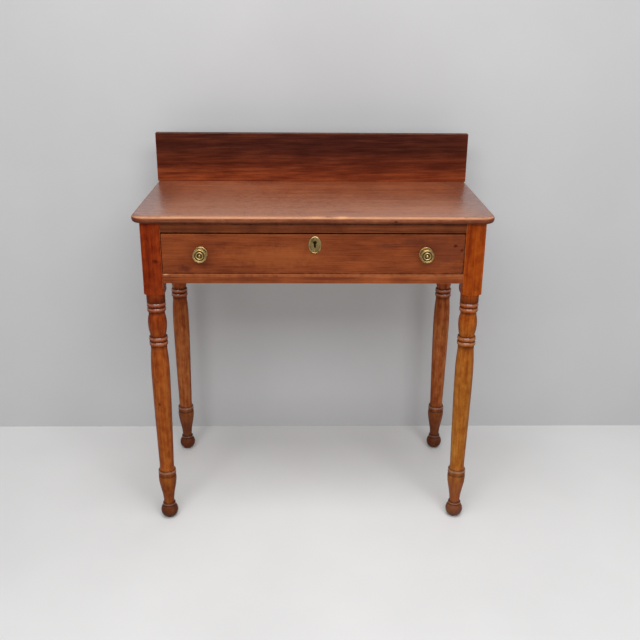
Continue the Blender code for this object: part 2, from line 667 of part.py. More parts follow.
def build_rails(frame):
    """The two front rails: the upper one dovetailed into the posts, the lower one tenoned and beaded."""
    shoulder = INNER_X - GAP
    right = rail_tail()
    left = [(-x, y) for x, y in reversed(right)]
    outline = [(-shoulder, RAIL_FRONT), (shoulder, RAIL_FRONT), *right]
    outline += [(shoulder, RAIL_REAR), (-shoulder, RAIL_REAR), *left]
    upper = bmesh.new()
    add_prism(upper, outline, 2, OPENING_TOP, FRAME_TOP)
    upper_rail = piece_in_place("upper_front_rail", upper, "rail_mahogany", frame)
    combine(upper_rail, "DIFFERENCE", "kicker_mortises", front_strip_mortises("kicker"))
    keep = bmesh.new()
    low, high = bolt_box()
    depth = BOLT_THROW - DRAWER_HEAD_GAP + BOLT_MORTISE_SPARE
    add_box(
        keep,
        (low[0] - 2 * GAP, low[1] - 2 * GAP, OPENING_TOP - CUT_PAST),
        (high[0] + 2 * GAP, high[1] + 2 * GAP, OPENING_TOP + depth),
    )
    combine(upper_rail, "DIFFERENCE", "bolt_mortise", keep)

    section = [(RAIL_REAR, APRON_BOTTOM), (RAIL_FRONT, APRON_BOTTOM)]
    section += [(RAIL_FRONT, OPENING_BOTTOM - 2 * BEAD_RADIUS - BEAD_QUIRK)]
    section += arc(RAIL_FRONT + BEAD_RADIUS, OPENING_BOTTOM - BEAD_RADIUS, BEAD_RADIUS, BEAD_RADIUS, 240, 90, 5)
    section += [(RAIL_REAR, OPENING_BOTTOM)]
    lower = bmesh.new()
    add_prism(lower, section, 0, -shoulder, shoulder)
    lower_rail = piece_in_place("lower_front_rail", lower, "rail_mahogany", frame)
    tenons = bmesh.new()
    low, high = APRON_BOTTOM + RAIL_TENON_SHOULDER, OPENING_BOTTOM - BEAD_RADIUS - RAIL_TENON_SHOULDER
    for side in (-1, 1):
        xs = sorted((side * (shoulder - CUT_PAST), side * (INNER_X + TENON_LENGTH)))
        half = reach_of_rail_tenon()
        add_box(tenons, (xs[0], FRONT_LEG_Y - half, low), (xs[1], FRONT_LEG_Y + half, high))
    combine(lower_rail, "UNION", "tenons", tenons)
    combine(lower_rail, "DIFFERENCE", "runner_mortises", front_strip_mortises("runner"))


def build_aprons(frame):
    """The side and back aprons, each with a tenon at both ends."""
    low, high = APRON_BOTTOM + TENON_SHOULDER, FRAME_TOP - TENON_SHOULDER
    half = TENON_THICKNESS / 2
    y_front, y_rear = POST_FRONT + POST + GAP, POST_REAR - POST - GAP
    reach = TENON_LENGTH + GAP
    for name, side in (("left", -1), ("right", 1)):
        xs = sorted((side * APRON_INNER_X, side * APRON_OUTER_X))
        board = bmesh.new()
        add_box(board, (xs[0], y_front, APRON_BOTTOM), (xs[1], y_rear, FRAME_TOP))
        apron = piece_in_place(f"{name}_side_apron", board, "rail_mahogany", frame)
        middle = sum(xs) / 2
        tenons = bmesh.new()
        for start, end in ((y_front - reach, y_front + CUT_PAST), (y_rear - CUT_PAST, y_rear + reach)):
            add_box(tenons, (middle - half, start, low), (middle + half, end, high))
        combine(apron, "UNION", "tenons", tenons)

    shoulder = INNER_X - GAP
    board = bmesh.new()
    add_box(board, (-shoulder, BACK_FRONT, APRON_BOTTOM), (shoulder, BACK_REAR, FRAME_TOP))
    apron = piece_in_place("back_apron", board, "inner_poplar", frame)
    middle = (BACK_FRONT + BACK_REAR) / 2
    tenons = bmesh.new()
    for side in (-1, 1):
        xs = sorted((side * (shoulder - CUT_PAST), side * (shoulder + reach)))
        add_box(tenons, (xs[0], middle - half, low), (xs[1], middle + half, high))
    combine(apron, "UNION", "tenons", tenons)
    mortises = bmesh.new()
    for x, z in strip_places().values():
        for side in (-1, 1):
            end = BACK_FRONT + STRIP_TENON_LENGTH + GAP
            add_box(mortises, *strip_tenon(BACK_FRONT - CUT_PAST, end, side * x, z, GAP))
    combine(apron, "DIFFERENCE", "strip_mortises", mortises)


def build_strips(frame):
    """Runners, guides, kickers and stops: what the drawer runs on, between, under and against."""
    y_front, y_rear = RAIL_REAR + GAP, BACK_FRONT - GAP
    post_line = POST_REAR - POST - GAP
    places = strip_places()
    for name, side in (("left", -1), ("right", 1)):
        outer = APRON_INNER_X - GAP
        inner = INNER_X - RUNNER_LEDGE
        outline = [(inner, y_front), (outer, y_front), (outer, post_line)]
        outline += [(INNER_X - GAP, post_line), (INNER_X - GAP, y_rear), (inner, y_rear)]
        runner = bmesh.new()
        mirrored = [(side * x, y) for x, y in outline]
        add_prism(runner, mirrored, 2, OPENING_BOTTOM - RUNNER_THICKNESS, OPENING_BOTTOM)
        piece = piece_in_place(f"{name}_drawer_runner", runner, "inner_poplar", frame)
        combine(piece, "UNION", "tenons", strip_tenons(side, *places["runner"], y_front, y_rear))

        xs = sorted((side * INNER_X, side * outer))
        guide = bmesh.new()
        low = OPENING_BOTTOM + GAP
        add_box(guide, (xs[0], POST_FRONT + POST + GAP, low), (xs[1], post_line, low + GUIDE_HEIGHT))
        piece_in_place(f"{name}_drawer_guide", guide, "inner_poplar", frame)

        xs = sorted((side * (INNER_X - KICKER_WIDTH), side * (INNER_X - GAP)))
        kicker = bmesh.new()
        add_box(kicker, (xs[0], y_front, OPENING_TOP), (xs[1], y_rear, FRAME_TOP))
        piece = piece_in_place(f"{name}_kicker", kicker, "inner_poplar", frame)
        combine(piece, "UNION", "tenons", strip_tenons(side, *places["kicker"], y_front, y_rear))

        middle = side * STOP_SPACING / 2
        stop = bmesh.new()
        front = DRAWER_FRONT_REAR + GAP
        add_box(
            stop,
            (middle - STOP_LENGTH / 2, front, OPENING_BOTTOM + GAP),
            (middle + STOP_LENGTH / 2, front + STOP_DEPTH, BOTTOM_LOW - STOP_CLEARANCE),
        )
        piece_in_place(f"{name}_drawer_stop", stop, "inner_poplar", frame)


def strip_tenons(side, x, z, y_front, y_rear):
    """The tenons at both ends of one runner or kicker."""
    tenons = bmesh.new()
    reach = STRIP_TENON_LENGTH
    for start, end in ((RAIL_REAR - reach, y_front + CUT_PAST), (y_rear - CUT_PAST, BACK_FRONT + reach)):
        add_box(tenons, *strip_tenon(start, end, side * x, z, 0))
    return tenons


def build_glue_blocks(frame):
    """Three-cornered blocks that hold the top to the side and back aprons."""
    middle_y = (POST_FRONT + POST_REAR) / 2
    half = GLUE_BLOCK_LENGTH / 2
    for name, side in (("left", -1), ("right", 1)):
        root = APRON_INNER_X - GAP
        corners = [(root, FRAME_TOP), (root - GLUE_BLOCK, FRAME_TOP), (root, FRAME_TOP - GLUE_BLOCK)]
        outline = [(side * x, z) for x, z in corners]
        for end, step in (("front", -1), ("rear", 1)):
            y = middle_y + step * SIDE_BLOCK_SPACING / 2
            block = bmesh.new()
            add_prism(block, outline, 1, y - half, y + half)
            piece_in_place(f"{name}_{end}_glue_block", block, "inner_poplar", frame)
        root = BACK_FRONT - GAP
        corners = [(root, FRAME_TOP), (root - GLUE_BLOCK, FRAME_TOP), (root, FRAME_TOP - GLUE_BLOCK)]
        x = side * BACK_BLOCK_SPACING / 2
        block = bmesh.new()
        add_prism(block, corners, 0, x - half, x + half)
        piece_in_place(f"back_{name}_glue_block", block, "inner_poplar", frame)


def tail_centres(low, high):
    """The middle heights of the dovetails that share a stretch of board."""
    pitch = (high - low) / TAIL_COUNT
    return [low + (i + 0.5) * pitch for i in range(TAIL_COUNT)]


def front_tails(room=0, past_base=0):
    """Outlines of the half-blind tails in the drawer front as Y and Z, or of their sockets."""
    base, tip = DRAWER_FRONT_REAR + GAP, DRAWER_FACE + DRAWER_LAP + GAP
    centres = tail_centres(SIDE_LOW, SIDE_TOP)
    return [tail_outline(base, tip, centre, TAIL_NECK, TAIL_FLARE, room, past_base, room) for centre in centres]


def rear_tails(room=0, past=0):
    """Outlines of the through tails in the drawer back as Y and Z, or of their sockets."""
    base, tip = DRAWER_BACK_FRONT - GAP, DRAWER_REAR
    centres = tail_centres(BACK_LOW, BACK_TOP)
    return [tail_outline(base, tip, centre, REAR_TAIL_NECK, REAR_TAIL_FLARE, room, past, past) for centre in centres]


def build_drawer_box(drawer):
    """The drawer's front, sides, back and bottom, and the nails that hold the bottom to the back."""
    build_drawer_front(drawer)
    build_drawer_sides(drawer)
    build_drawer_back(drawer)
    build_drawer_bottom(drawer)


def build_drawer_front(drawer):
    """The front board with its dovetail sockets, groove, knob holes, lock recess and keyhole."""
    board = bmesh.new()
    add_box(board, (-DRAWER_HALF, DRAWER_FACE, DRAWER_LOW), (DRAWER_HALF, DRAWER_FRONT_REAR, DRAWER_TOP))
    front = piece_in_place("drawer_front", board, "drawer_mahogany", drawer)
    sockets = bmesh.new()
    for side in (-1, 1):
        xs = sorted((side * (DRAWER_INNER - GAP), side * (DRAWER_HALF + CUT_PAST)))
        for outline in front_tails(GAP, CUT_PAST):
            add_prism(sockets, outline, 0, *xs)
        bore = (side * KNOB_SPACING / 2, KNOB_Z)
        add_bore(
            sockets, bore, 1, SPINDLE_BOLT_RADIUS + GAP, DRAWER_FACE - CUT_PAST, DRAWER_FRONT_REAR + CUT_PAST
        )
    combine(front, "DIFFERENCE", "sockets_and_bores", sockets)
    groove = bmesh.new()
    reach = DRAWER_INNER + GROOVE_DEPTH
    add_box(
        groove,
        (-reach, DRAWER_FRONT_REAR - GROOVE_DEPTH, GROOVE_LOW),
        (reach, DRAWER_FRONT_REAR + CUT_PAST, GROOVE_TOP),
    )
    combine(front, "DIFFERENCE", "bottom_groove", groove)
    for label, (low, high) in lock_recesses().items():
        recess = bmesh.new()
        add_box(recess, low, high)
        combine(front, "DIFFERENCE", label, recess)
    keyway = bmesh.new()
    add_prism(keyway, keyhole_outline(KEYHOLE_EASE), 1, DRAWER_FACE - CUT_PAST, LOCK_FRONT + CUT_PAST)
    combine(front, "DIFFERENCE", "keyhole", keyway)
    pilots = bmesh.new()
    for place in lock_screw_places():
        add_screw_hole(pilots, place, True, LOCK_SCREW_RADIUS, LOCK_SCREW_HEAD_RADIUS, LOCK_SCREW_LENGTH)
    for x, z in pin_places():
        end = DRAWER_FACE + PIN_LENGTH
        add_bore(pilots, (x, z), 1, PIN_RADIUS + GAP, DRAWER_FACE - CUT_PAST, end)
    combine(front, "DIFFERENCE", "pilots", pilots)


def build_drawer_sides(drawer):
    """The side boards, cut to their tails at both ends and grooved for the bottom."""
    base = DRAWER_FRONT_REAR + GAP
    rear_base = DRAWER_BACK_FRONT - GAP
    outline = [(base, SIDE_TOP)]
    for tail in reversed(front_tails()):
        outline += reversed(tail)
    outline += [(base, SIDE_LOW), (DRAWER_REAR, SIDE_LOW), (DRAWER_REAR, BACK_LOW - GAP), (rear_base, BACK_LOW - GAP)]
    for tail in rear_tails():
        outline += tail
    outline += [(rear_base, SIDE_TOP)]
    for name, side in (("left", -1), ("right", 1)):
        xs = sorted((side * DRAWER_INNER, side * DRAWER_HALF))
        board = bmesh.new()
        add_prism(board, outline, 0, *xs)
        piece = piece_in_place(f"drawer_{name}_side", board, "inner_poplar", drawer)
        groove = bmesh.new()
        xs = sorted((side * (DRAWER_INNER - CUT_PAST), side * (DRAWER_INNER + GROOVE_DEPTH)))
        add_box(
            groove, (xs[0], DRAWER_FACE, GROOVE_LOW), (xs[1], DRAWER_REAR + CUT_PAST, GROOVE_TOP)
        )
        combine(piece, "DIFFERENCE", "bottom_groove", groove)


def nail_places():
    """Where the nails go in, from below, as X and Y."""
    return [(i * NAIL_SPACING, (DRAWER_BACK_FRONT + DRAWER_REAR) / 2) for i in (-1, 0, 1)]


def add_nail(bm, x, y, room):
    """A cut nail with its head let into the bottom's underside, or the hole for it with room to spare."""
    shank = NAIL_SIZE / 2 + room
    head = NAIL_HEAD_SIZE / 2 + room
    head_top = BOTTOM_LOW + NAIL_HEAD_HEIGHT + room
    low = BOTTOM_LOW - (CUT_PAST if room else 0)
    outline = [(x - shank, BOTTOM_LOW + NAIL_LENGTH + room), (x - shank, head_top), (x - head, head_top)]
    outline += [(x - head, low), (x + head, low), (x + head, head_top), (x + shank, head_top)]
    outline += [(x + shank, BOTTOM_LOW + NAIL_LENGTH + room)]
    add_prism(bm, outline, 1, y - shank, y + shank)


def build_drawer_back(drawer):
    """The back board, which stands on the bottom, with its sockets for the sides' tails."""
    board = bmesh.new()
    add_box(board, (-DRAWER_HALF, DRAWER_BACK_FRONT, BACK_LOW), (DRAWER_HALF, DRAWER_REAR, BACK_TOP))
    back = piece_in_place("drawer_back", board, "inner_poplar", drawer)
    sockets = bmesh.new()
    for side in (-1, 1):
        xs = sorted((side * (DRAWER_INNER - GAP), side * (DRAWER_HALF + CUT_PAST)))
        for outline in rear_tails(GAP, CUT_PAST):
            add_prism(sockets, outline, 0, *xs)
    combine(back, "DIFFERENCE", "sockets", sockets)
    holes = bmesh.new()
    for x, y in nail_places():
        add_nail(holes, x, y, GAP)
    combine(back, "DIFFERENCE", "nail_holes", holes)


def build_drawer_bottom(drawer):
    """The bottom panel, bevelled below to fit its grooves, and its nails."""
    reach = DRAWER_INNER + GROOVE_DEPTH - BOTTOM_PLAY
    front = DRAWER_FRONT_REAR - GROOVE_DEPTH + BOTTOM_PLAY
    panel = bmesh.new()
    add_box(panel, (-reach, front, BOTTOM_TOP - BOTTOM_EDGE), (reach, DRAWER_REAR, BOTTOM_TOP))
    under = min(panel.faces, key=lambda face: face.calc_center_median().z)
    grown = bmesh.ops.extrude_face_region(panel, geom=[under])["geom"]
    bmesh.ops.delete(panel, geom=[under], context="FACES_ONLY")
    for vert in [g for g in grown if isinstance(g, bmesh.types.BMVert)]:
        vert.co.z = BOTTOM_LOW
        vert.co.x += BOTTOM_BEVEL if vert.co.x < 0 else -BOTTOM_BEVEL
        if vert.co.y < DRAWER_BACK_FRONT:
            vert.co.y += BOTTOM_BEVEL
    bottom = piece_in_place("drawer_bottom", panel, "inner_poplar", drawer)
    holes = bmesh.new()
    for x, y in nail_places():
        add_nail(holes, x, y, GAP)
    combine(bottom, "DIFFERENCE", "nail_holes", holes)
    for name, (x, y) in zip(("left", "middle", "right"), nail_places()):
        nail = bmesh.new()
        add_nail(nail, x, y, 0)
        piece_in_place(f"drawer_bottom_{name}_nail", nail, "dark_iron", drawer)


def knob_profile():
    """The knob's head, from its socket's floor round its back and rim to the button on its face."""
    socket = SPINDLE_NOSE_RADIUS + GAP
    rim_top = KNOB_BACK_DEPTH + KNOB_RIM
    points = [(0, KNOB_SOCKET_DEPTH), (socket, KNOB_SOCKET_DEPTH), (socket, 0), (KNOB_SEAT_RADIUS, 0)]
    points += sweep((KNOB_SEAT_RADIUS, 0), (KNOB_RADIUS, KNOB_BACK_DEPTH), sqrt, 4)
    edge = KNOB_RADIUS
    for _ in range(KNOB_RING_COUNT):
        half = KNOB_RING_WIDTH / 2
        points += arc(edge - half, rim_top, half, KNOB_RING_RISE, 0, 180, 3)
        edge -= KNOB_RING_WIDTH + KNOB_RING_GAP
        points += [(edge + KNOB_RING_GAP / 2, rim_top - KNOB_RING_GAP)]
    points += arc(0, rim_top, edge, KNOB_BUTTON_RISE, 0, 90, 3)[:-1]
    return without_repeats(points + [(0, rim_top + KNOB_BUTTON_RISE)])


def spindle_profile():
    """The knob's stem, from the bolt's end inside the drawer to the nose in the head."""
    through = 2 * GAP + BACKPLATE_THICKNESS + DRAWER_FRONT_THICKNESS + GAP + NUT_THICKNESS + SPINDLE_TAIL
    neck_top = SPINDLE_NECK_LENGTH
    points = [(0, -through), (SPINDLE_BOLT_RADIUS, -through), (SPINDLE_BOLT_RADIUS, 0), (SPINDLE_FLANGE_RADIUS, 0)]
    points += [(SPINDLE_FLANGE_RADIUS, SPINDLE_FLANGE_HEIGHT)]
    points += sweep(points[-1], (SPINDLE_NECK_RADIUS, neck_top / 2), lambda t: 1 - (1 - t) ** 3, 3)
    points += sweep((SPINDLE_NECK_RADIUS, neck_top / 2), (KNOB_SEAT_RADIUS, neck_top), lambda t: t**2, 2)
    points += [(SPINDLE_NOSE_RADIUS, neck_top), (SPINDLE_NOSE_RADIUS, neck_top + SPINDLE_NOSE_LENGTH)]
    return points + [(0, neck_top + SPINDLE_NOSE_LENGTH)]


def backplate_profile():
    """The round plate behind a knob, with a rim that rolls down to the wood."""
    hole = SPINDLE_BOLT_RADIUS + GAP
    rise = BACKPLATE_THICKNESS - BACKPLATE_EDGE
    points = [(hole, 0), (BACKPLATE_RADIUS, 0), (BACKPLATE_RADIUS, BACKPLATE_EDGE)]
    points += arc(BACKPLATE_RADIUS - rise, BACKPLATE_EDGE, rise, rise, 0, 90, 3)[1:]
    return points + [(hole, BACKPLATE_THICKNESS), (hole, 0)]


def forward_mesh(name, profile, facets):
    """A turned brass that looks towards the viewer."""
    bm = bmesh.new()
    add_turning(bm, profile, facets)
    face_forward(bm)
    return mesh_of(name, bm, "aged_brass", smooth=True)


def build_knobs(drawer):
    """Two knobs: a head on a threaded spindle, a backplate and a square nut inside the drawer."""
    plate_y = DRAWER_FACE - GAP
    spindle_y = plate_y - BACKPLATE_THICKNESS - GAP
    head_y = spindle_y - SPINDLE_NECK_LENGTH - GAP
    nut_y = DRAWER_FRONT_REAR + GAP
    head = forward_mesh("knob_head", knob_profile(), KNOB_FACETS)
    spindle = forward_mesh("knob_spindle", spindle_profile(), KNOB_FACETS // 2)
    plate = forward_mesh("knob_backplate", backplate_profile(), KNOB_FACETS)
    for name, side in (("left", -1), ("right", 1)):
        x = side * KNOB_SPACING / 2
        place_mesh(f"{name}_knob", head, (x, head_y, KNOB_Z), drawer)
        place_mesh(f"{name}_knob_spindle", spindle, (x, spindle_y, KNOB_Z), drawer)
        place_mesh(f"{name}_knob_backplate", plate, (x, plate_y, KNOB_Z), drawer)
        nut = bmesh.new()
        half = NUT_WIDTH / 2
        add_box(nut, (x - half, nut_y, KNOB_Z - half), (x + half, nut_y + NUT_THICKNESS, KNOB_Z + half))
        piece = piece_in_place(f"{name}_knob_nut", nut, "aged_brass", drawer)
        bore = bmesh.new()
        radius = SPINDLE_BOLT_RADIUS + GAP
        add_bore(bore, (x, KNOB_Z), 1, radius, nut_y - CUT_PAST, nut_y + NUT_THICKNESS + CUT_PAST)
        combine(piece, "DIFFERENCE", "bore", bore)


def keyhole_outline(room):
    """The keyhole's outline as X and Z: a round above a slot, with room to spare."""
    radius = KEYHOLE_RADIUS + room
    half = KEYHOLE_SLOT_WIDTH / 2 + room
    opening = degrees(asin(half / radius))
    points = arc(LOCK_OFFSET, KEYHOLE_Z, radius, radius, -90 + opening, 270 - opening, KEYHOLE_FACETS)
    low = KEYHOLE_Z - KEYHOLE_SLOT_DROP - room
    return points + [(LOCK_OFFSET - half, low), (LOCK_OFFSET + half, low)]


def lock_solids():
    """The boxes that make up the lock case: its body, its plate and the selvedge on the drawer's top edge."""
    half = LOCK_WIDTH / 2
    plate_half = LOCK_PLATE_WIDTH / 2
    x = LOCK_OFFSET
    rear = DRAWER_FRONT_REAR
    body = ((x - half, LOCK_FRONT, LOCK_LOW), (x + half, rear, DRAWER_TOP))
    plate_front = rear - LOCK_PLATE_THICKNESS
    plate = ((x - plate_half, plate_front, LOCK_LOW - LOCK_PLATE_DROP), (x + plate_half, rear, DRAWER_TOP))
    selvedge_low = DRAWER_TOP - SELVEDGE_THICKNESS
    selvedge = ((x - plate_half, LOCK_FRONT, selvedge_low), (x + plate_half, rear, DRAWER_TOP))
    return {"lock_body": body, "lock_plate": plate, "selvedge": selvedge}


def lock_recesses():
    """The hollows that the lock case needs in the drawer front, open to its rear and its top edge."""
    recesses = {}
    for label, (low, high) in lock_solids().items():
        room = Vector((GAP, GAP, GAP))
        past = Vector((GAP, CUT_PAST, CUT_PAST))
        recesses[f"{label}_recess"] = (Vector(low) - room, Vector(high) + past)
    return recesses


def bolt_box():
    """Corners of the lock bolt when it is drawn back."""
    half = BOLT_WIDTH / 2
    low = (LOCK_OFFSET - half, KEY_SPACE_FRONT + GAP, BOLT_SEAT + GAP)
    high = (LOCK_OFFSET + half, KEY_SPACE_REAR - GAP, BOLT_TOP)
    return low, high


def lock_screw_places():
    """Where the lock screws start, with their heads flush in the plate."""
    x_step = LOCK_PLATE_WIDTH / 2 - LOCK_SCREW_INSET
    low = LOCK_LOW - LOCK_PLATE_DROP + LOCK_SCREW_INSET
    high = DRAWER_TOP - SELVEDGE_THICKNESS - LOCK_SCREW_INSET
    return [(LOCK_OFFSET + side * x_step, DRAWER_FRONT_REAR, z) for z in (low, high) for side in (-1, 1)]


def build_lock(drawer, bolt_axis):
    """The half-mortise lock: its case, its screws and the bolt that rises out of it."""
    x = LOCK_OFFSET
    solids = lock_solids()
    body = bmesh.new()
    add_box(body, *solids["lock_plate"])
    case = piece_in_place("lock_case", body, "aged_brass", drawer)
    for label in ("lock_body", "selvedge"):
        part = bmesh.new()
        add_box(part, *solids[label])
        combine(case, "UNION", label, part)
    channel = bmesh.new()
    half = BOLT_WIDTH / 2 + GAP
    add_box(
        channel,
        (x - half, KEY_SPACE_FRONT, BOLT_SEAT),
        (x + half, KEY_SPACE_REAR, DRAWER_TOP + CUT_PAST),
    )
    combine(case, "DIFFERENCE", "bolt_channel", channel)
    key_space = bmesh.new()
    half = KEY_SPACE_WIDTH / 2
    add_box(
        key_space,
        (x - half, KEY_SPACE_FRONT, KEYHOLE_Z - KEY_SPACE_DROP),
        (x + half, KEY_SPACE_REAR, BOLT_SEAT + CUT_PAST),
    )
    combine(case, "DIFFERENCE", "key_space", key_space)
    keyway = bmesh.new()
    add_prism(keyway, keyhole_outline(0), 1, LOCK_FRONT - CUT_PAST, BOLT_Y)
    combine(case, "DIFFERENCE", "keyhole", keyway)
    holes = bmesh.new()
    for place in lock_screw_places():
        add_screw_hole(holes, place, True, LOCK_SCREW_RADIUS, LOCK_SCREW_HEAD_RADIUS, LOCK_SCREW_LENGTH)
    combine(case, "DIFFERENCE", "screw_holes", holes)

    shank = bmesh.new()
    add_turning(shank, screw_profile(LOCK_SCREW_RADIUS, LOCK_SCREW_HEAD_RADIUS, LOCK_SCREW_LENGTH), SCREW_FACETS)
    face_forward(shank)
    mesh = mesh_of("lock_screw", shank, "dark_iron", smooth=True)
    names = ("lower_left", "lower_right", "upper_left", "upper_right")
    for name, place in zip(names, lock_screw_places()):
        place_mesh(f"lock_{name}_screw", mesh, place, drawer)

    bolt = bmesh.new()
    add_box(bolt, *bolt_box())
    piece_in_place("lock_bolt", bolt, "aged_brass", bolt_axis)


def pin_places():
    """The escutcheon's two pins, as X and Z, above and below its middle."""
    half = ESCUTCHEON_PIN_SPACING / 2
    return [(LOCK_OFFSET, ESCUTCHEON_Z + half), (LOCK_OFFSET, ESCUTCHEON_Z - half)]


def build_escutcheon(drawer):
    """The oval plate round the keyhole, with a raised rim and two pins."""
    plate = bmesh.new()
    oval = Matrix.Diagonal((ESCUTCHEON_WIDTH / 2, ESCUTCHEON_HEIGHT / 2, 1, 1))
    bmesh.ops.create_circle(plate, cap_ends=True, segments=ESCUTCHEON_FACETS, radius=1, matrix=oval)
    grown = bmesh.ops.extrude_face_region(plate, geom=plate.faces[:])["geom"]
    verts = [g for g in grown if isinstance(g, bmesh.types.BMVert)]
    bmesh.ops.translate(plate, verts=verts, vec=(0, 0, ESCUTCHEON_EDGE))
    face = max(plate.faces, key=lambda f: f.calc_center_median().z)
    for width, rise in ((ESCUTCHEON_RIM, ESCUTCHEON_RISE), (ESCUTCHEON_FIELD, -ESCUTCHEON_SINK)):
        bmesh.ops.recalc_face_normals(plate, faces=plate.faces)
        bmesh.ops.inset_individual(plate, faces=[face], thickness=width, depth=rise)
    face_forward(plate)
    place = (LOCK_OFFSET, DRAWER_FACE - GAP, ESCUTCHEON_Z)
    escutcheon = place_mesh("escutcheon", mesh_of("escutcheon", plate, "aged_brass"), place, drawer)
    field = ESCUTCHEON_EDGE + ESCUTCHEON_RISE - ESCUTCHEON_SINK
    front = DRAWER_FACE - GAP - field
    keyway = bmesh.new()
    add_prism(keyway, keyhole_outline(0), 1, front - CUT_PAST, DRAWER_FACE + CUT_PAST)
    for x, z in pin_places():
        add_bore(keyway, (x, z), 1, PIN_RADIUS + GAP, front - CUT_PAST, DRAWER_FACE + CUT_PAST)
    combine(escutcheon, "DIFFERENCE", "holes", keyway)

    reach = PIN_LENGTH - GAP + field
    points = [(0, -reach), (PIN_RADIUS, -reach + PIN_RADIUS), (PIN_RADIUS, GAP), (PIN_HEAD_RADIUS, GAP)]
    points += arc(0, GAP, PIN_HEAD_RADIUS, PIN_HEAD_HEIGHT, 0, 90, 2)[1:-1]
    mesh = forward_mesh("escutcheon_pin", points + [(0, GAP + PIN_HEAD_HEIGHT)], SCREW_FACETS)
    for name, (x, z) in zip(("upper", "lower"), pin_places()):
        place_mesh(f"escutcheon_{name}_pin", mesh, (x, front, z), drawer)


def main():
    """Builds the washstand at rest, with its drawer shut and its lock open."""
    clear_scene()
    frame = carrier("washstand", (0, 0, 0))
    drawer = carrier("drawer_slide", (0, DRAWER_FACE, KNOB_Z), frame)
    bolt_axis = carrier("lock_bolt_slide", (LOCK_OFFSET, BOLT_Y, BOLT_TOP), drawer)
    build_legs(frame)
    build_top(frame)
    build_rails(frame)
    build_aprons(frame)
    build_strips(frame)
    build_glue_blocks(frame)
    build_drawer_box(drawer)
    build_knobs(drawer)
    build_lock(drawer, bolt_axis)
    build_escutcheon(drawer)


if __name__ == "__main__":
    main()
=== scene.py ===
"""Dresses a washstand: smooth turned legs, worn mahogany boards, brass knobs and a keyhole plate.

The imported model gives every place. Lengths are metres, X runs to the viewer's right, Y towards the
back and Z up.
"""

import logging
from collections.abc import Callable, Iterable, Sequence
from dataclasses import dataclass, replace
from enum import Enum
from math import acos, asin, cos, degrees, exp, pi, radians, sin, sqrt

import bmesh
import bpy
from bmesh.types import BMEdge, BMesh, BMFace, BMVert
from bpy.types import Material, Node, NodeSocket, Object, World
from mathutils import Matrix, Vector

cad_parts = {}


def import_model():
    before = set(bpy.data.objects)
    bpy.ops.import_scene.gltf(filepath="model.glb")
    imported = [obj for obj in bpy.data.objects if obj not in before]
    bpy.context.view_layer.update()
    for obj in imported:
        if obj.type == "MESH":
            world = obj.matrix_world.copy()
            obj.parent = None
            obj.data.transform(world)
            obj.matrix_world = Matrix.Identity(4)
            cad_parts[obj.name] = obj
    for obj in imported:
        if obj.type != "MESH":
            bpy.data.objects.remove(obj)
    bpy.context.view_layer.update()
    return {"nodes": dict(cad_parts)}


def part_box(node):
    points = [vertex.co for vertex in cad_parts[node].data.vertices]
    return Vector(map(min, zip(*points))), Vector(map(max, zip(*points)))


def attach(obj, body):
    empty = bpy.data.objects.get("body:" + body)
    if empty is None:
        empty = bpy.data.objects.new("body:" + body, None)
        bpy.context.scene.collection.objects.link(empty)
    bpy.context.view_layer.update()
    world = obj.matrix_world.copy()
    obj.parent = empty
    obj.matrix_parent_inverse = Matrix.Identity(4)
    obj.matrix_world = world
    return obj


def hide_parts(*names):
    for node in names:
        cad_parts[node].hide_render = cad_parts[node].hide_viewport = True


Colour = tuple[float, float, float]
Place = tuple[float, float, float]
Point = tuple[float, float]
Span = tuple[float, float]
Profile = list[Point]
Value = NodeSocket | float | Sequence[float]

LOG = logging.getLogger("washstand")

# Room round a pin in its hole, and how close points, levels and the ends of a level edge lie.
FIT = 0.0003
SAME_POINT = 1e-6
SAME_LEVEL = 1e-5
LEVEL_EDGE = 0.003

# How square to an axis a flat face lies, and what makes an edge of a board an arris to ease.
FLAT_FACE = 0.985
ARRIS_LENGTH = 0.02
ARRIS_ANGLE = radians(60)
ARRIS_WEAR = 0.5

# Words that the names of paired pieces and of pieces in threes hold.
SIDES = ("left", "right")
THIRDS = ("left", "middle", "right")

WHITE: Colour = (1.0, 1.0, 1.0)
EVEN: Place = (1.0, 1.0, 1.0)
STILL: Place = (0.0, 0.0, 0.0)
HALF: Place = (0.5, 0.5, 0.5)


class Grain(Enum):
    """The way a board's grain runs, as the turn that lays it along a pattern's own X."""

    ACROSS = (0.0, 0.0, 0.0)
    DEEP = (0.0, 0.0, -pi / 2)
    UPRIGHT = (0.0, pi / 2, 0.0)


class Body(Enum):
    """The three moving bodies of the washstand."""

    FRAME = "frame"
    DRAWER = "drawer"
    BOLT = "lock_bolt"


class Join(Enum):
    """How one solid works on another."""

    CUT = "DIFFERENCE"
    SHARED = "INTERSECT"


class Side(Enum):
    """A side of a board that shows, as the axis it faces along and the end of that axis."""

    LEFT = (0, 0)
    RIGHT = (0, 1)
    FRONT = (1, 0)


class Work(Enum):
    """What a node does with the values that it is given."""

    ADD = "ADD"
    SUBTRACT = "SUBTRACT"
    MULTIPLY = "MULTIPLY"
    MULTIPLY_ADD = "MULTIPLY_ADD"
    DIVIDE = "DIVIDE"
    GREATEST = "MAXIMUM"
    LENGTH = "LENGTH"


class Blend(Enum):
    """How one colour lies over another."""

    COVER = "MIX"
    TINT = "MULTIPLY"


def shade(red: int, green: int, blue: int) -> Colour:
    """Turn a colour as it is seen into the light that a finish gives back.

    Args:
        red: Share of red, from 0 to 255.
        green: Share of green, from 0 to 255.
        blue: Share of blue, from 0 to 255.

    Returns:
        The same colour in linear light.
    """

    def linear(share: int) -> float:
        """Undo the curve of a screen for one share."""
        level = share / 255
        if level <= 0.04045:
            return level / 12.92
        return ((level + 0.055) / 1.055) ** 2.4

    return linear(red), linear(green), linear(blue)


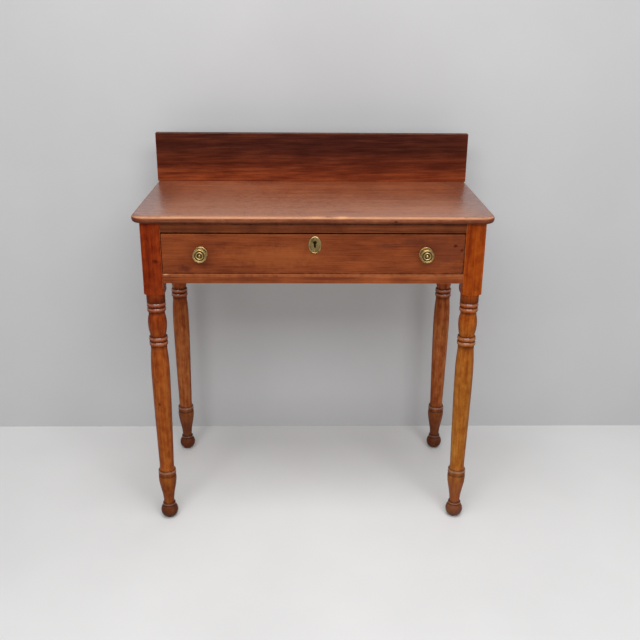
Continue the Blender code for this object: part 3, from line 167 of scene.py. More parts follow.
@dataclass(frozen=True)
class Cloud:
    """A cloudy pattern: its waves per metre along each axis, its finer layers and their strength."""

    scale: Place
    detail: float = 2.0
    roughness: float = 0.5


class Sheet:
    """The node sheet of a finish or of the room, with short ways to add nodes and link them."""

    def __init__(self, owner: Material | World) -> None:
        """Start from the few nodes that a new finish or room has."""
        owner.use_nodes = True
        self.tree = owner.node_tree

    def put(self, socket: NodeSocket, value: Value) -> None:
        """Link a socket to another, or set its own value.

        Args:
            socket: The input to fill.
            value: An output to link, or a number, vector or colour.
        """
        if isinstance(value, NodeSocket):
            self.tree.links.new(value, socket)
        elif socket.type == "RGBA":
            socket.default_value = (*value, 1.0)
        else:
            socket.default_value = value

    def node(self, kind: str, inputs: dict[str | int, Value], work: Work | None = None) -> Node:
        """Add a node and fill its inputs.

        Args:
            kind: What kind of node it is.
            inputs: What goes into each input, by its name or number.
            work: What the node does with them, where its kind has a choice.

        Returns:
            The node.
        """
        node = self.tree.nodes.new(kind)
        if work is not None:
            node.operation = work.value
        for name, value in inputs.items():
            self.put(node.inputs[name], value)
        return node

    def surface(self, name: str, value: Value) -> None:
        """Fill one input of the finish's shader."""
        self.put(self.tree.nodes["Principled BSDF"].inputs[name], value)

    def choose(self, share: NodeSocket, first: NodeSocket, second: NodeSocket, output: str) -> None:
        """Show the first shader where a share is 0 and the second where it is 1."""
        choice = self.node("ShaderNodeMixShader", {0: share, 1: first, 2: second})
        self.put(self.tree.nodes[output].inputs["Surface"], choice.outputs[0])

    def place(self) -> NodeSocket:
        """The point on the piece that is being shaded."""
        return self.node("ShaderNodeTexCoord", {}).outputs["Object"]

    def mapped(
        self, place: NodeSocket, scale: Place, turn: Place = STILL, shift: Place = STILL
    ) -> NodeSocket:
        """Scale a pattern's place along each axis, turn it about each axis and shift it."""
        inputs = {"Vector": place, "Scale": scale, "Rotation": turn, "Location": shift}
        return self.node("ShaderNodeMapping", inputs).outputs["Vector"]

    def clouds(self, place: NodeSocket, cloud: Cloud) -> Node:
        """A node that draws a cloudy pattern at a place, as one number and as three."""
        inputs = {"Vector": self.mapped(place, cloud.scale), "Scale": 1.0}
        return self.node(
            "ShaderNodeTexNoise", {**inputs, "Detail": cloud.detail, "Roughness": cloud.roughness}
        )

    def noise(self, place: NodeSocket, cloud: Cloud) -> NodeSocket:
        """A cloudy pattern from 0 to 1."""
        return self.clouds(place, cloud).outputs[0]

    def swayed(self, place: NodeSocket, cloud: Cloud, reach: Place) -> NodeSocket:
        """Bend a pattern's place to and fro, as far as its reach, so that straight lines wander."""
        middle = self.vector(Work.SUBTRACT, self.clouds(place, cloud).outputs[1], HALF)
        return self.vector(Work.ADD, place, self.vector(Work.MULTIPLY, middle, reach))

    def vector(self, work: Work, first: Value, second: Value) -> NodeSocket:
        """Work on two vectors."""
        return self.node("ShaderNodeVectorMath", {0: first, 1: second}, work).outputs["Vector"]

    def length(self, vector: NodeSocket) -> NodeSocket:
        """The length of a vector."""
        return self.node("ShaderNodeVectorMath", {0: vector}, Work.LENGTH).outputs["Value"]

    def sum(self, work: Work, first: Value, second: Value, third: Value = 0.0) -> NodeSocket:
        """Work on two numbers, or on three where the work takes a third."""
        return self.node("ShaderNodeMath", {0: first, 1: second, 2: third}, work).outputs[0]

    def layered(self, layers: Sequence[tuple[NodeSocket, float]]) -> NodeSocket:
        """Lay patterns over each other, so that their middles stay at one half.

        Args:
            layers: The patterns and how strong each one is.

        Returns:
            The pattern of them all.
        """
        total: Value = 0.5 - 0.5 * sum(strength for _, strength in layers)
        for pattern, strength in layers:
            total = self.sum(Work.MULTIPLY_ADD, pattern, strength, total)
        return total

    def range(self, value: NodeSocket, span: Span, onto: Span = (0.0, 1.0)) -> NodeSocket:
        """Stretch a span of values onto another span, held at its ends."""
        ends = {"From Min": span[0], "From Max": span[1], "To Min": onto[0], "To Max": onto[1]}
        return self.node("ShaderNodeMapRange", {"Value": value, **ends}).outputs["Result"]

    def ramp(self, value: NodeSocket, stops: Sequence[tuple[float, Colour]]) -> NodeSocket:
        """Colour a value by a few stops.

        Args:
            value: The value to colour.
            stops: Places from 0 to 1 with their colours, in order.

        Returns:
            The colour.
        """
        node = self.node("ShaderNodeValToRGB", {"Fac": value})
        elements = node.color_ramp.elements
        while len(elements) < len(stops):
            elements.new(0.5)
        for element, (position, colour) in zip(elements, stops):
            element.position = position
            element.color = (*colour, 1.0)
        return node.outputs["Color"]

    def mix(self, share: Value, first: Value, second: Value, way: Blend = Blend.COVER) -> NodeSocket:
        """Lay one colour over another.

        Args:
            share: How much of the second colour shows.
            first: The colour below.
            second: The colour on top.
            way: How the two are blended.

        Returns:
            The blended colour.
        """
        node = self.tree.nodes.new("ShaderNodeMix")
        node.data_type = "RGBA"
        node.blend_type = way.value
        for socket, value in ((0, share), (6, first), (7, second)):
            self.put(node.inputs[socket], value)
        return node.outputs[2]

    def painted(self, name: str) -> NodeSocket:
        """A value that was painted on the piece's own mesh.

        Args:
            name: What the value is called.

        Returns:
            The value.
        """
        node = self.tree.nodes.new("ShaderNodeAttribute")
        node.attribute_name = name
        return node.outputs["Fac"]

    def height_of(self, place: NodeSocket) -> NodeSocket:
        """How high a point stands above the floor."""
        return self.node("ShaderNodeSeparateXYZ", {0: place}).outputs["Z"]

    def bump(self, height: NodeSocket, strength: float, reach: float) -> None:
        """Raise the surface by a share of a pattern that reaches a height where it is 1."""
        inputs = {"Height": height, "Strength": strength, "Distance": reach}
        self.surface("Normal", self.node("ShaderNodeBump", inputs).outputs["Normal"])


# The patterns of a board, in waves per metre along its grain and across it.
SWAY = Cloud((1.6, 5.0, 5.0), detail=1.0)
SWAY_REACH = (0.0, 0.010, 0.010)
STREAK_WAVES = 1.3
FINE_LINES = Cloud((14.0, 420.0, 420.0), detail=3.0, roughness=0.6)
PORES = Cloud((150.0, 2400.0, 2400.0), detail=1.0)
BLOTCHES = Cloud((3.2, 6.0, 6.0), detail=3.0, roughness=0.55)
LATHE_LINES = Cloud((620.0, 4.0, 4.0))
LATHE_DEPTH = 0.8
WOOD_REACH = 0.0004

# The patterns of wear and dirt, with their painted highlights and shade, of metal and of paint.
RAGGED = Cloud((70.0, 70.0, 70.0), detail=4.0, roughness=0.6)
TARNISH = Cloud((130.0, 130.0, 130.0), detail=3.0)
SPECKS = Cloud((1500.0, 1500.0, 1500.0))
SPECK_STRENGTH = 0.18
METAL_REACH = 0.0002
PAINT_CLOUDS = Cloud((1.7, 1.7, 1.7), detail=4.0)
PAINT_SHADE = 0.93
PAINT_ROUGHNESS = 0.8

# The part of its pattern over which each thing comes up, and how strong the uneven ones are.
MOST = (0.3, 0.7)
PORE_SPAN = (0.60, 0.74)
BLOTCH_SPAN = (0.42, 0.62)
RUB_AND_HIGHLIGHT_SPAN = (0.40, 0.62)
DARKENING_SPAN = (0.30, 0.65)
DARKENING_STRENGTH = (0.75, 1.0)
MARK_UNEVEN = (-0.35, 0.35)
MARK_FADE = (1.0, 0.35)
SPECK_SPAN = (0.60, 0.80)
TARNISH_STRENGTH = (1.0, 0.8)
SHEEN_SPAN = (0.36, 0.64)
PAINT_SPAN = (0.35, 0.65)


@dataclass(frozen=True)
class Mark:
    """A stain, dent or worn spot, a painted sheen or a painted shade: an uneven patch of another colour.
    """

    place: Place
    reach: Place
    colour: Colour
    strength: float = 0.7

    def laid(
        self, sheet: Sheet, spot: NodeSocket, ragged: NodeSocket, below: NodeSocket
    ) -> NodeSocket:
        """Lay the mark over a colour.

        Args:
            sheet: The finish's node sheet.
            spot: The point that is being shaded.
            ragged: A pattern that breaks up the mark's outline.
            below: The colour below.

        Returns:
            The colour with the mark on it.
        """
        away = sheet.vector(Work.DIVIDE, sheet.vector(Work.SUBTRACT, spot, self.place), self.reach)
        uneven = sheet.range(ragged, MOST, MARK_UNEVEN)
        distance = sheet.sum(Work.ADD, sheet.length(away), uneven)
        return sheet.mix(sheet.range(distance, MARK_FADE, (0.0, self.strength)), below, self.colour)


@dataclass(frozen=True)
class Shift:
    """A slow change of tone with height."""

    tint: Colour
    low: float
    high: float


@dataclass(frozen=True)
class Finish:
    """A finish, which is made once and then found again by its name."""

    name: str

    def material(self) -> Material:
        """Make the finish, or find it if it was made before.

        Returns:
            The finish as a material.
        """
        made = bpy.data.materials.get(self.name)
        if made is None:
            made = bpy.data.materials.new(self.name)
            self.draw(Sheet(made))
        return made

    def draw(self, sheet: Sheet) -> None:
        """Draw the finish on its node sheet, which each kind of finish does in its own way."""
        raise NotImplementedError


@dataclass(frozen=True)
class WoodFinish(Finish):
    """Stained and waxed wood: streaks, pores, worn arrises and dirt, with painted highlights and painted
    shade.
    """

    slot: str
    grain: Grain
    deep: Colour
    body: Colour
    bright: Colour
    cut: Place = (0.0, 0.0, 0.0)
    streak: float = 0.020
    figure: float = 0.50
    ribbon: float = 0.30
    ribbon_size: tuple[float, float] = (8.0, 170.0)
    slant: float = 0.0
    fine: float = 0.22
    mottle: float = 0.35
    mottle_size: tuple[float, float] = (21.0, 9.0)
    spread: float = 0.13
    pores: float = 0.5
    blotch: float = 0.25
    worn_and_highlight: Colour = shade(186, 116, 66)
    rub_and_highlight: float = 0.35
    grime_and_shade: Colour = shade(40, 16, 9)
    smooth: float = 0.26
    rough: float = 0.40
    gloss: float = 0.06
    wax: float = 0.01
    wax_rough: float = 0.22
    relief: float = 0.25
    turned: bool = False
    shift: Shift | None = None
    marks: tuple[Mark, ...] = ()

    def burnished(self) -> "WoodFinish":
        """The same wood where it is rubbed to a shine, as on the crests of rings."""
        shiny = replace(self, name=f"{self.name}_rings", gloss=0.7, wax=0.6, wax_rough=0.2)
        return replace(shiny, smooth=0.15, rough=0.22, relief=0.05)

    def draw(self, sheet: Sheet) -> None:
        """Draw the wood: its figure and pores, its stain, wear and dirt, and its wax.

        Args:
            sheet: The finish's node sheet.
        """
        spot = sheet.place()
        board = sheet.mapped(spot, EVEN, self.grain.value, self.cut)
        board = sheet.swayed(board, SWAY, SWAY_REACH)
        lines = sheet.noise(board, FINE_LINES)
        pores = sheet.range(sheet.noise(board, PORES), PORE_SPAN)
        figure = self.figured(sheet, board, lines)
        colour = self.stained(sheet, board, figure, pores)
        sheet.surface("Base Color", self.aged(sheet, spot, colour))
        sheet.surface("Roughness", sheet.range(figure, MOST, (self.rough, self.smooth)))
        sheet.surface("Specular IOR Level", self.gloss)
        sheet.surface("Coat Weight", self.wax)
        sheet.surface("Coat Roughness", self.wax_rough)
        height = sheet.sum(Work.SUBTRACT, lines, pores)
        if self.turned:
            rings = sheet.noise(board, LATHE_LINES)
            height = sheet.sum(Work.ADD, height, sheet.sum(Work.MULTIPLY, rings, LATHE_DEPTH))
        sheet.bump(height, self.relief, WOOD_REACH)

    def figured(self, sheet: Sheet, board: NodeSocket, lines: NodeSocket) -> NodeSocket:
        """Lay the wood's streaks, ribbons, fine lines and mottle over each other.

        Args:
            sheet: The finish's node sheet.
            board: The place along the grain and across it.
            lines: The pattern of the fine lines.

        Returns:
            The figure, which lies about one half.
        """
        wide = 1 / self.streak
        streaks = sheet.noise(board, Cloud((STREAK_WAVES, wide, wide), detail=3.0, roughness=0.55))
        along, over = self.ribbon_size
        leaning = sheet.mapped(board, EVEN, (0.0, self.slant, 0.0))
        ribbons = sheet.noise(leaning, Cloud((along, over, over), detail=2.0, roughness=0.6))
        along, over = self.mottle_size
        mottle = sheet.noise(board, Cloud((along, over, over), detail=3.0, roughness=0.5))
        broad = ((streaks, self.figure), (ribbons, self.ribbon))
        return sheet.layered((*broad, (lines, self.fine), (mottle, self.mottle)))

    def stained(
        self, sheet: Sheet, board: NodeSocket, figure: NodeSocket, pores: NodeSocket
    ) -> NodeSocket:
        """Colour the wood's figure, its blotches and its pores.

        Args:
            sheet: The finish's node sheet.
            board: The place along the grain and across it.
            figure: The pattern of the figure.
            pores: The pattern of the pores.

        Returns:
            The colour of the stained wood.
        """
        stops = ((0.5 - self.spread, self.deep), (0.5, self.body), (0.5 + self.spread, self.bright))
        blotches = sheet.range(sheet.noise(board, BLOTCHES), BLOTCH_SPAN, (0.0, self.blotch))
        colour = sheet.mix(blotches, sheet.ramp(figure, stops), self.deep)
        return sheet.mix(sheet.sum(Work.MULTIPLY, pores, self.pores), colour, self.grime_and_shade)

    def aged(self, sheet: Sheet, spot: NodeSocket, colour: NodeSocket) -> NodeSocket:
        """Lay a change of tone, marks, wear and dirt over the stained wood, with the painted sheen,
        highlights and shade that some of them carry.

        Args:
            sheet: The finish's node sheet.
            spot: The point that is being shaded.
            colour: The colour of the stained wood.

        Returns:
            The colour of the old wood.
        """
        if self.shift is not None:
            rise = sheet.range(sheet.height_of(spot), (self.shift.low, self.shift.high))
            colour = sheet.mix(rise, colour, self.shift.tint, Blend.TINT)
        ragged = sheet.noise(spot, RAGGED)
        for mark in self.marks:
            colour = mark.laid(sheet, spot, ragged, colour)
        # Paler worn wood where wear is painted on; on the top's front edge and the rings' crests this is
        # also a painted highlight.
        patches = sheet.range(ragged, RUB_AND_HIGHLIGHT_SPAN, (self.rub_and_highlight, 1.0))
        wear_and_highlight = sheet.sum(Work.MULTIPLY, sheet.painted("wear_and_highlight"), patches)
        colour = sheet.mix(wear_and_highlight, colour, self.worn_and_highlight)
        # Darker where dirt is painted on; on the top's lower edge and in the keyhole this is painted
        # shade.
        patches = sheet.range(ragged, DARKENING_SPAN, DARKENING_STRENGTH)
        darkening = sheet.sum(Work.MULTIPLY, sheet.painted("grime_and_shade"), patches)
        return sheet.mix(darkening, colour, self.grime_and_shade)


@dataclass(frozen=True)
class MetalFinish(Finish):
    """Old metal, rubbed bright where hands reach and dull in its corners, with painted shade at the foot
    of the keyhole plate.
    """

    slot: str
    bright: Colour
    body: Colour
    dull: Colour
    smooth: float = 0.26
    rough: float = 0.46
    relief: float = 0.15

    def draw(self, sheet: Sheet) -> None:
        """Draw the metal, with its tarnish, specks, dirt and painted shade.

        Args:
            sheet: The finish's node sheet.
        """
        spot = sheet.place()
        tarnish = sheet.noise(spot, TARNISH)
        specks = sheet.noise(spot, SPECKS)
        colour = sheet.ramp(tarnish, ((MOST[0], self.body), (MOST[1], self.bright)))
        colour = sheet.mix(sheet.range(specks, SPECK_SPAN, (0.0, SPECK_STRENGTH)), colour, self.dull)
        # Darker where dirt is painted on; at the foot of the keyhole plate this is painted shade.
        patches = sheet.range(tarnish, MOST, TARNISH_STRENGTH)
        darkening = sheet.sum(Work.MULTIPLY, sheet.painted("grime_and_shade"), patches)
        sheet.surface("Base Color", sheet.mix(darkening, colour, self.dull))
        sheet.surface("Metallic", 1.0)
        sheet.surface("Roughness", sheet.range(tarnish, SHEEN_SPAN, (self.rough, self.smooth)))
        sheet.bump(specks, self.relief, METAL_REACH)


@dataclass(frozen=True)
class PaintFinish(Finish):
    """Pale paint with faint clouds in it, which may be clear when it is seen from behind."""

    tone: Colour
    one_sided: bool = False

    def draw(self, sheet: Sheet) -> None:
        """Draw the paint.

        Args:
            sheet: The finish's node sheet.
        """
        darker = tuple(PAINT_SHADE * share for share in self.tone)
        clouds = sheet.noise(sheet.place(), PAINT_CLOUDS)
        stops = ((PAINT_SPAN[0], darker), (PAINT_SPAN[1], self.tone))
        sheet.surface("Base Color", sheet.ramp(clouds, stops))
        sheet.surface("Roughness", PAINT_ROUGHNESS)
        if self.one_sided:
            behind = sheet.node("ShaderNodeNewGeometry", {}).outputs["Backfacing"]
            paint = sheet.tree.nodes["Principled BSDF"].outputs[0]
            clear = sheet.node("ShaderNodeBsdfTransparent", {}).outputs[0]
            sheet.choose(behind, paint, clear, "Material Output")


PartFinish = WoodFinish | MetalFinish

TOP_WOOD = WoodFinish(
    name="waxed_mahogany_top",
    slot="top_wood",
    grain=Grain.ACROSS,
    deep=shade(128, 67, 43),
    body=shade(153, 87, 57),
    bright=shade(174, 106, 73),
    cut=(0.31, 0.12, 0.40),
    streak=0.030,
    figure=0.38,
    fine=0.36,
    mottle=0.24,
    spread=0.10,
    smooth=0.22,
    rough=0.30,
    gloss=0.38,
    wax=0.40,
    wax_rough=0.28,
    # Pale worn wood, which on the front edge also stands in as a painted highlight.
    worn_and_highlight=shade(208, 154, 116),
    rub_and_highlight=0.60,
    marks=(
        # Painted sheen: pale hazes over the middle, the front and the left of the top, standing in for
        # the wall's reflection in the wax.
        Mark((0.0, -0.0700, 0.7990), (2.0, 0.150, 0.009), shade(172, 126, 104), 0.22),
        Mark((0.0, -0.2050, 0.7990), (2.0, 0.200, 0.009), shade(180, 126, 97), 0.44),
        Mark((-0.2200, -0.0200, 0.7990), (0.170, 0.300, 0.009), shade(172, 126, 104), 0.22),
        # Darker tone at both ends of the top.
        Mark((-0.4080, 0.0, 0.7990), (0.095, 0.500, 0.009), shade(110, 66, 50), 0.75),
        Mark((0.4080, 0.0, 0.7990), (0.095, 0.500, 0.009), shade(110, 66, 50), 0.75),
        Mark((-0.3980, -0.1900, 0.7880), (0.028, 0.028, 0.011), shade(104, 48, 32), 0.80),
        Mark((0.4020, -0.1880, 0.7880), (0.022, 0.026, 0.010), shade(112, 54, 38), 0.70),
        Mark((0.0334, -0.2018, 0.7964), (0.012, 0.006, 0.004), shade(92, 38, 22), 0.85),
        Mark((0.0625, -0.2008, 0.7964), (0.016, 0.005, 0.004), shade(224, 164, 106), 0.7),
        Mark((0.0063, -0.2008, 0.7964), (0.018, 0.005, 0.004), shade(220, 156, 100), 0.6),
        Mark((0.1829, -0.2033, 0.7865), (0.006, 0.004, 0.004), shade(70, 24, 16), 0.8),
        Mark((0.0705, -0.1522, 0.7975), (0.060, 0.012, 0.010), shade(120, 74, 66), 0.5),
    ),
)
EDGE_WOOD = replace(TOP_WOOD, name="rubbed_mahogany_edge", gloss=0.06, wax=0.02)
BACKSPLASH_WOOD = WoodFinish(
    name="waxed_mahogany_backsplash",
    slot="backsplash_wood",
    grain=Grain.ACROSS,
    deep=shade(82, 30, 15),
    body=shade(114, 49, 25),
    bright=shade(146, 69, 36),
    cut=(0.07, 0.53, 0.22),
    streak=0.013,
    figure=0.30,
    ribbon=0.36,
    ribbon_size=(8.0, 120.0),
    slant=0.03,
    fine=0.36,
    mottle=0.24,
    mottle_size=(12.0, 34.0),
    spread=0.13,
    worn_and_highlight=shade(150, 96, 72),
    gloss=0.04,
    wax=0.0,
    shift=Shift((0.34, 0.36, 0.52), 0.812, 0.880),
)
LEG_WOOD = WoodFinish(
    name="waxed_cherry_left_leg",
    slot="leg_wood",
    grain=Grain.UPRIGHT,
    deep=shade(112, 46, 13),
    body=shade(142, 71, 24),
    bright=shade(164, 92, 35),
    cut=(0.0, 0.11, 0.05),
    streak=0.012,
    figure=0.34,
    mottle=0.40,
    mottle_size=(48.0, 75.0),
    spread=0.12,
    worn_and_highlight=shade(198, 122, 68),
    grime_and_shade=shade(46, 20, 12),
    gloss=0.05,
    wax=0.0,
    turned=True,
    shift=Shift((0.65, 0.31, 0.26), 0.360, 0.640),
    marks=(
        Mark((-0.3588, -0.1893, 0.6895), (0.0085, 0.006, 0.0070), shade(70, 16, 7), 0.85),
        Mark((-0.3711, -0.1883, 0.3283), (0.004, 0.010, 0.005), shade(70, 30, 16), 0.85),
        Mark((-0.3673, -0.1669, 0.0120), (0.040, 0.040, 0.034), shade(78, 48, 41), 0.85),
    ),
)
RIGHT_LEG_WOOD = replace(
    LEG_WOOD,
    name="waxed_cherry_right_leg",
    deep=shade(128, 66, 18),
    body=shade(158, 95, 32),
    bright=shade(178, 117, 48),
    cut=(0.4, 0.03, 0.27),
    shift=Shift((0.77, 0.38, 0.22), 0.360, 0.640),
    marks=(
        Mark((0.3673, -0.1669, 0.0700), (0.060, 0.060, 0.090), shade(150, 74, 50), 0.55),
        Mark((0.3673, -0.1669, 0.0120), (0.040, 0.040, 0.034), shade(118, 75, 72), 0.85),
    ),
)
# A lighter copy of the leg wood for the rear legs, painted light that makes up for the shade under the
# table; their feet are darker.
REAR_LEG_WOOD = replace(
    LEG_WOOD,
    name="waxed_cherry_rear_legs",
    deep=shade(122, 56, 24),
    body=shade(153, 84, 41),
    bright=shade(174, 106, 56),
    cut=(0.2, 0.31, 0.15),
    marks=(
        Mark((-0.3673, 0.1887, 0.0200), (0.060, 0.060, 0.150), shade(94, 48, 34), 0.7),
        Mark((0.3673, 0.1887, 0.0200), (0.060, 0.060, 0.150), shade(94, 48, 34), 0.7),
    ),
)
RAIL_WOOD = WoodFinish(
    name="waxed_mahogany_rails",
    slot="rail_wood",
    grain=Grain.ACROSS,
    deep=shade(98, 44, 20),
    body=shade(128, 63, 30),
    bright=shade(150, 80, 42),
    cut=(0.53, 0.20, 0.31),
    streak=0.012,
    figure=0.50,
    worn_and_highlight=shade(170, 102, 60),
    marks=(Mark((-0.3370, -0.1884, 0.6592), (0.009, 0.006, 0.0024), shade(214, 170, 130), 0.85),),
)
# A darker copy of the rail wood: painted shade under the top's overhang, with a painted shadow line
# along its top edge.
UPPER_RAIL_WOOD = replace(
    RAIL_WOOD,
    name="waxed_mahogany_upper_rail_in_shade",
    deep=shade(82, 38, 18),
    body=shade(108, 53, 27),
    bright=shade(128, 68, 38),
    cut=(0.1, 0.6, 0.2),
    marks=(Mark((0.0, -0.1890, 0.7812), (2.0, 0.02, 0.0055), shade(38, 15, 8), 0.85),),
)
SIDE_WOOD = replace(RAIL_WOOD, name="waxed_mahogany_side_aprons", grain=Grain.DEEP)
DRAWER_WOOD = WoodFinish(
    name="waxed_mahogany_drawer",
    slot="drawer_wood",
    grain=Grain.ACROSS,
    deep=shade(90, 38, 19),
    body=shade(121, 58, 28),
    bright=shade(141, 71, 36),
    cut=(0.61, 0.37, 0.14),
    streak=0.024,
    figure=0.20,
    ribbon=0.12,
    fine=0.40,
    mottle=0.34,
    mottle_size=(14.0, 36.0),
    spread=0.14,
    blotch=0.14,
    worn_and_highlight=shade(168, 104, 64),
    marks=(
        Mark((-0.0850, -0.1884, 0.7000), (0.120, 0.01, 0.034), shade(148, 80, 40), 0.45),
        Mark((0.2950, -0.1884, 0.7200), (0.080, 0.01, 0.050), shade(92, 44, 28), 0.50),
        Mark((-0.2920, -0.1884, 0.6744), (0.017, 0.01, 0.010), shade(78, 30, 20), 0.75),
        Mark((-0.2442, -0.1884, 0.6830), (0.026, 0.01, 0.012), shade(80, 32, 18), 0.40),
        Mark((-0.2062, -0.1884, 0.7281), (0.018, 0.01, 0.011), shade(78, 32, 18), 0.45),
        Mark((0.2290, -0.1884, 0.7385), (0.034, 0.01, 0.012), shade(84, 40, 26), 0.60),
        Mark((0.1628, -0.1884, 0.7274), (0.030, 0.01, 0.008), shade(86, 42, 28), 0.50),
        Mark((0.3383, -0.1884, 0.7178), (0.0055, 0.006, 0.0045), shade(60, 18, 10), 0.9),
        Mark((0.3218, -0.1884, 0.7279), (0.0065, 0.006, 0.0045), shade(60, 18, 10), 0.9),
        # Painted shadow: dark lines along the drawer's right and lower gaps.
        Mark((0.3446, -0.1884, 0.7075), (0.0036, 0.020, 2.0), shade(40, 15, 8), 0.85),
        Mark((0.0, -0.1884, 0.6604), (2.0, 0.020, 0.0036), shade(44, 17, 9), 0.80),
    ),
)
INNER_WOOD = WoodFinish(
    name="bare_poplar",
    slot="inner_wood",
    grain=Grain.DEEP,
    deep=shade(140, 98, 58),
    body=shade(170, 128, 82),
    bright=shade(190, 150, 102),
    streak=0.014,
    figure=0.45,
    pores=0.20,
    blotch=0.45,
    worn_and_highlight=shade(196, 158, 112),
    grime_and_shade=shade(70, 44, 24),
    smooth=0.60,
    rough=0.78,
    gloss=0.20,
    wax=0.0,
    relief=0.40,
)
INNER_ACROSS = replace(
    INNER_WOOD, name="bare_poplar_across", grain=Grain.ACROSS, cut=(0.2, 0.3, 0.1)
)
DRAWER_SIDE_WOOD = replace(INNER_WOOD, name="bare_poplar_drawer_sides", cut=(0.5, 0.1, 0.7))
DRAWER_BOTTOM_WOOD = replace(
    INNER_ACROSS, name="bare_poplar_drawer_bottom", streak=0.035, cut=(0.8, 0.2, 0.6)
)
BRASS = MetalFinish(
    name="old_brass",
    slot="brass",
    bright=shade(198, 171, 117),
    body=shade(154, 126, 75),
    dull=shade(42, 31, 14),
    smooth=0.27,
    rough=0.36,
)
# A darker copy of the brass for the lock case, painted shade that keeps the keyhole dark.
DARK_BRASS = replace(
    BRASS,
    name="brass_darkened_as_keyhole_shade",
    bright=shade(96, 78, 44),
    body=shade(62, 48, 26),
    dull=shade(26, 18, 8),
    smooth=0.34,
    rough=0.50,
)
IRON = MetalFinish(
    name="dark_iron",
    slot="iron",
    bright=shade(104, 98, 92),
    body=shade(70, 64, 60),
    dull=shade(58, 38, 26),
    smooth=0.40,
    rough=0.62,
)
FLOOR_PAINT = PaintFinish(name="pale_floor", tone=shade(232, 232, 232))
WALL_PAINT = PaintFinish(name="pale_wall", tone=shade(194, 194, 195), one_sided=True)


def arc(middle: Point, size: Point, start: float, end: float, steps: int) -> Profile:
    """Points of an oval arc.

    Args:
        middle: The oval's middle, as radius and height.
        size: Its reach outwards and upwards.
        start: Where the arc starts, in degrees from the outward direction.
        end: Where it ends.
        steps: How many steps it takes.

    Returns:
        The points in order.
    """
    angles = [radians(start + (end - start) * i / steps) for i in range(steps + 1)]
    return [(middle[0] + size[0] * cos(a), middle[1] + size[1] * sin(a)) for a in angles]


def bead(low: float, high: float, root: float, crest: float, steps: int = 14) -> Profile:
    """Points of a half-round ring between two heights.

    Args:
        low: Where the ring starts.
        high: Where it ends.
        root: Radius at its foot.
        crest: Radius at its widest.
        steps: How many steps it takes.

    Returns:
        The points from low to high.
    """
    return arc((root, (low + high) / 2), (crest - root, (high - low) / 2), -90, 90, steps)


def sweep(low: Point, high: Point, shape: Callable[[float], float], steps: int) -> Profile:
    """Points from one radius and height to another along a curve.

    Args:
        low: The first radius and height.
        high: The last radius and height.
        shape: Gives the share of the way outwards for a share of the way up.
        steps: How many steps it takes.

    Returns:
        The points after the first.
    """
    shares = [i / steps for i in range(1, steps + 1)]
    out, up = high[0] - low[0], high[1] - low[1]
    return [(low[0] + out * shape(share), low[1] + up * share) for share in shares]


def ease(share: float) -> float:
    """A share that starts and ends level."""
    return share * share * (3 - 2 * share)


def swell(share: float) -> float:
    """A share that starts steeply and ends level."""
    return 1 - (1 - share) ** 2


def entasis(share: float) -> float:
    """A share that rises almost straight and then rounds over."""
    return (share + sin(pi / 2 * share)) / 2


def turning(profile: Profile, facets: int) -> BMesh:
    """Spin a profile about the Z axis.

    Args:
        profile: Radius and height of each point, starting and ending on the axis or closed on itself.
        facets: How many facets go round.

    Returns:
        The closed shape.
    """
    bm = bmesh.new()
    points = [profile[0]]
    for point in profile[1:]:
        if (Vector(point) - Vector(points[-1])).length > SAME_POINT:
            points.append(point)
    verts = [bm.verts.new((radius, 0, height)) for radius, height in points]
    edges = [bm.edges.new(pair) for pair in zip(verts, verts[1:])]
    bmesh.ops.spin(
        bm,
        geom=verts + edges,
        cent=(0, 0, 0),
        axis=(0, 0, 1),
        angle=2 * pi,
        steps=facets,
        use_merge=True,
        use_duplicate=False,
    )
    bmesh.ops.remove_doubles(bm, verts=bm.verts, dist=SAME_POINT)
    bmesh.ops.recalc_face_normals(bm, faces=bm.faces)
    return bm


def block(low: Iterable[float], high: Iterable[float]) -> BMesh:
    """A square block between two corners.

    Args:
        low: The lowest corner.
        high: The highest corner.

    Returns:
        The block.
    """
    low, high = Vector(low), Vector(high)
    bm = bmesh.new()
    size = Matrix.Diagonal((*(high - low), 1))
    bmesh.ops.create_cube(bm, size=1, matrix=Matrix.Translation((low + high) / 2) @ size)
    return bm


def round_over(bm: BMesh, edges: Iterable[BMEdge], width: float, segments: int) -> None:
    """Round edges over.

    Args:
        bm: The shape.
        edges: Which of its edges.
        width: How far in the rounding starts.
        segments: How many facets it has.
    """
    bmesh.ops.bevel(
        bm,
        geom=list(edges),
        offset=width,
        segments=segments,
        profile=0.5,
        affect="EDGES",
        clamp_overlap=True,
        material=-1,
    )


def worked(first: BMesh, second: BMesh, way: Join) -> BMesh:
    """Work one solid with another, and use both up.

    Args:
        first: The solid to keep.
        second: The solid that works on it.
        way: How it works.

    Returns:
        The worked solid.
    """
    helpers = []
    for label, bm in (("kept", first), ("tool", second)):
        mesh = bpy.data.meshes.new(label)
        bm.to_mesh(mesh)
        bm.free()
        helper = bpy.data.objects.new(label, mesh)
        bpy.context.scene.collection.objects.link(helper)
        helpers.append(helper)
    modifier = helpers[0].modifiers.new("work", "BOOLEAN")
    modifier.operation = way.value
    modifier.solver = "EXACT"
    modifier.object = helpers[1]
    result = bmesh.new()
    result.from_object(helpers[0], bpy.context.evaluated_depsgraph_get())
    for helper in helpers:
        mesh = helper.data
        bpy.data.objects.remove(helper)
        bpy.data.meshes.remove(mesh)
    return result


def move(bm: BMesh, way: Sequence[float]) -> None:
    """Move a whole shape."""
    bmesh.ops.translate(bm, verts=bm.verts, vec=way)


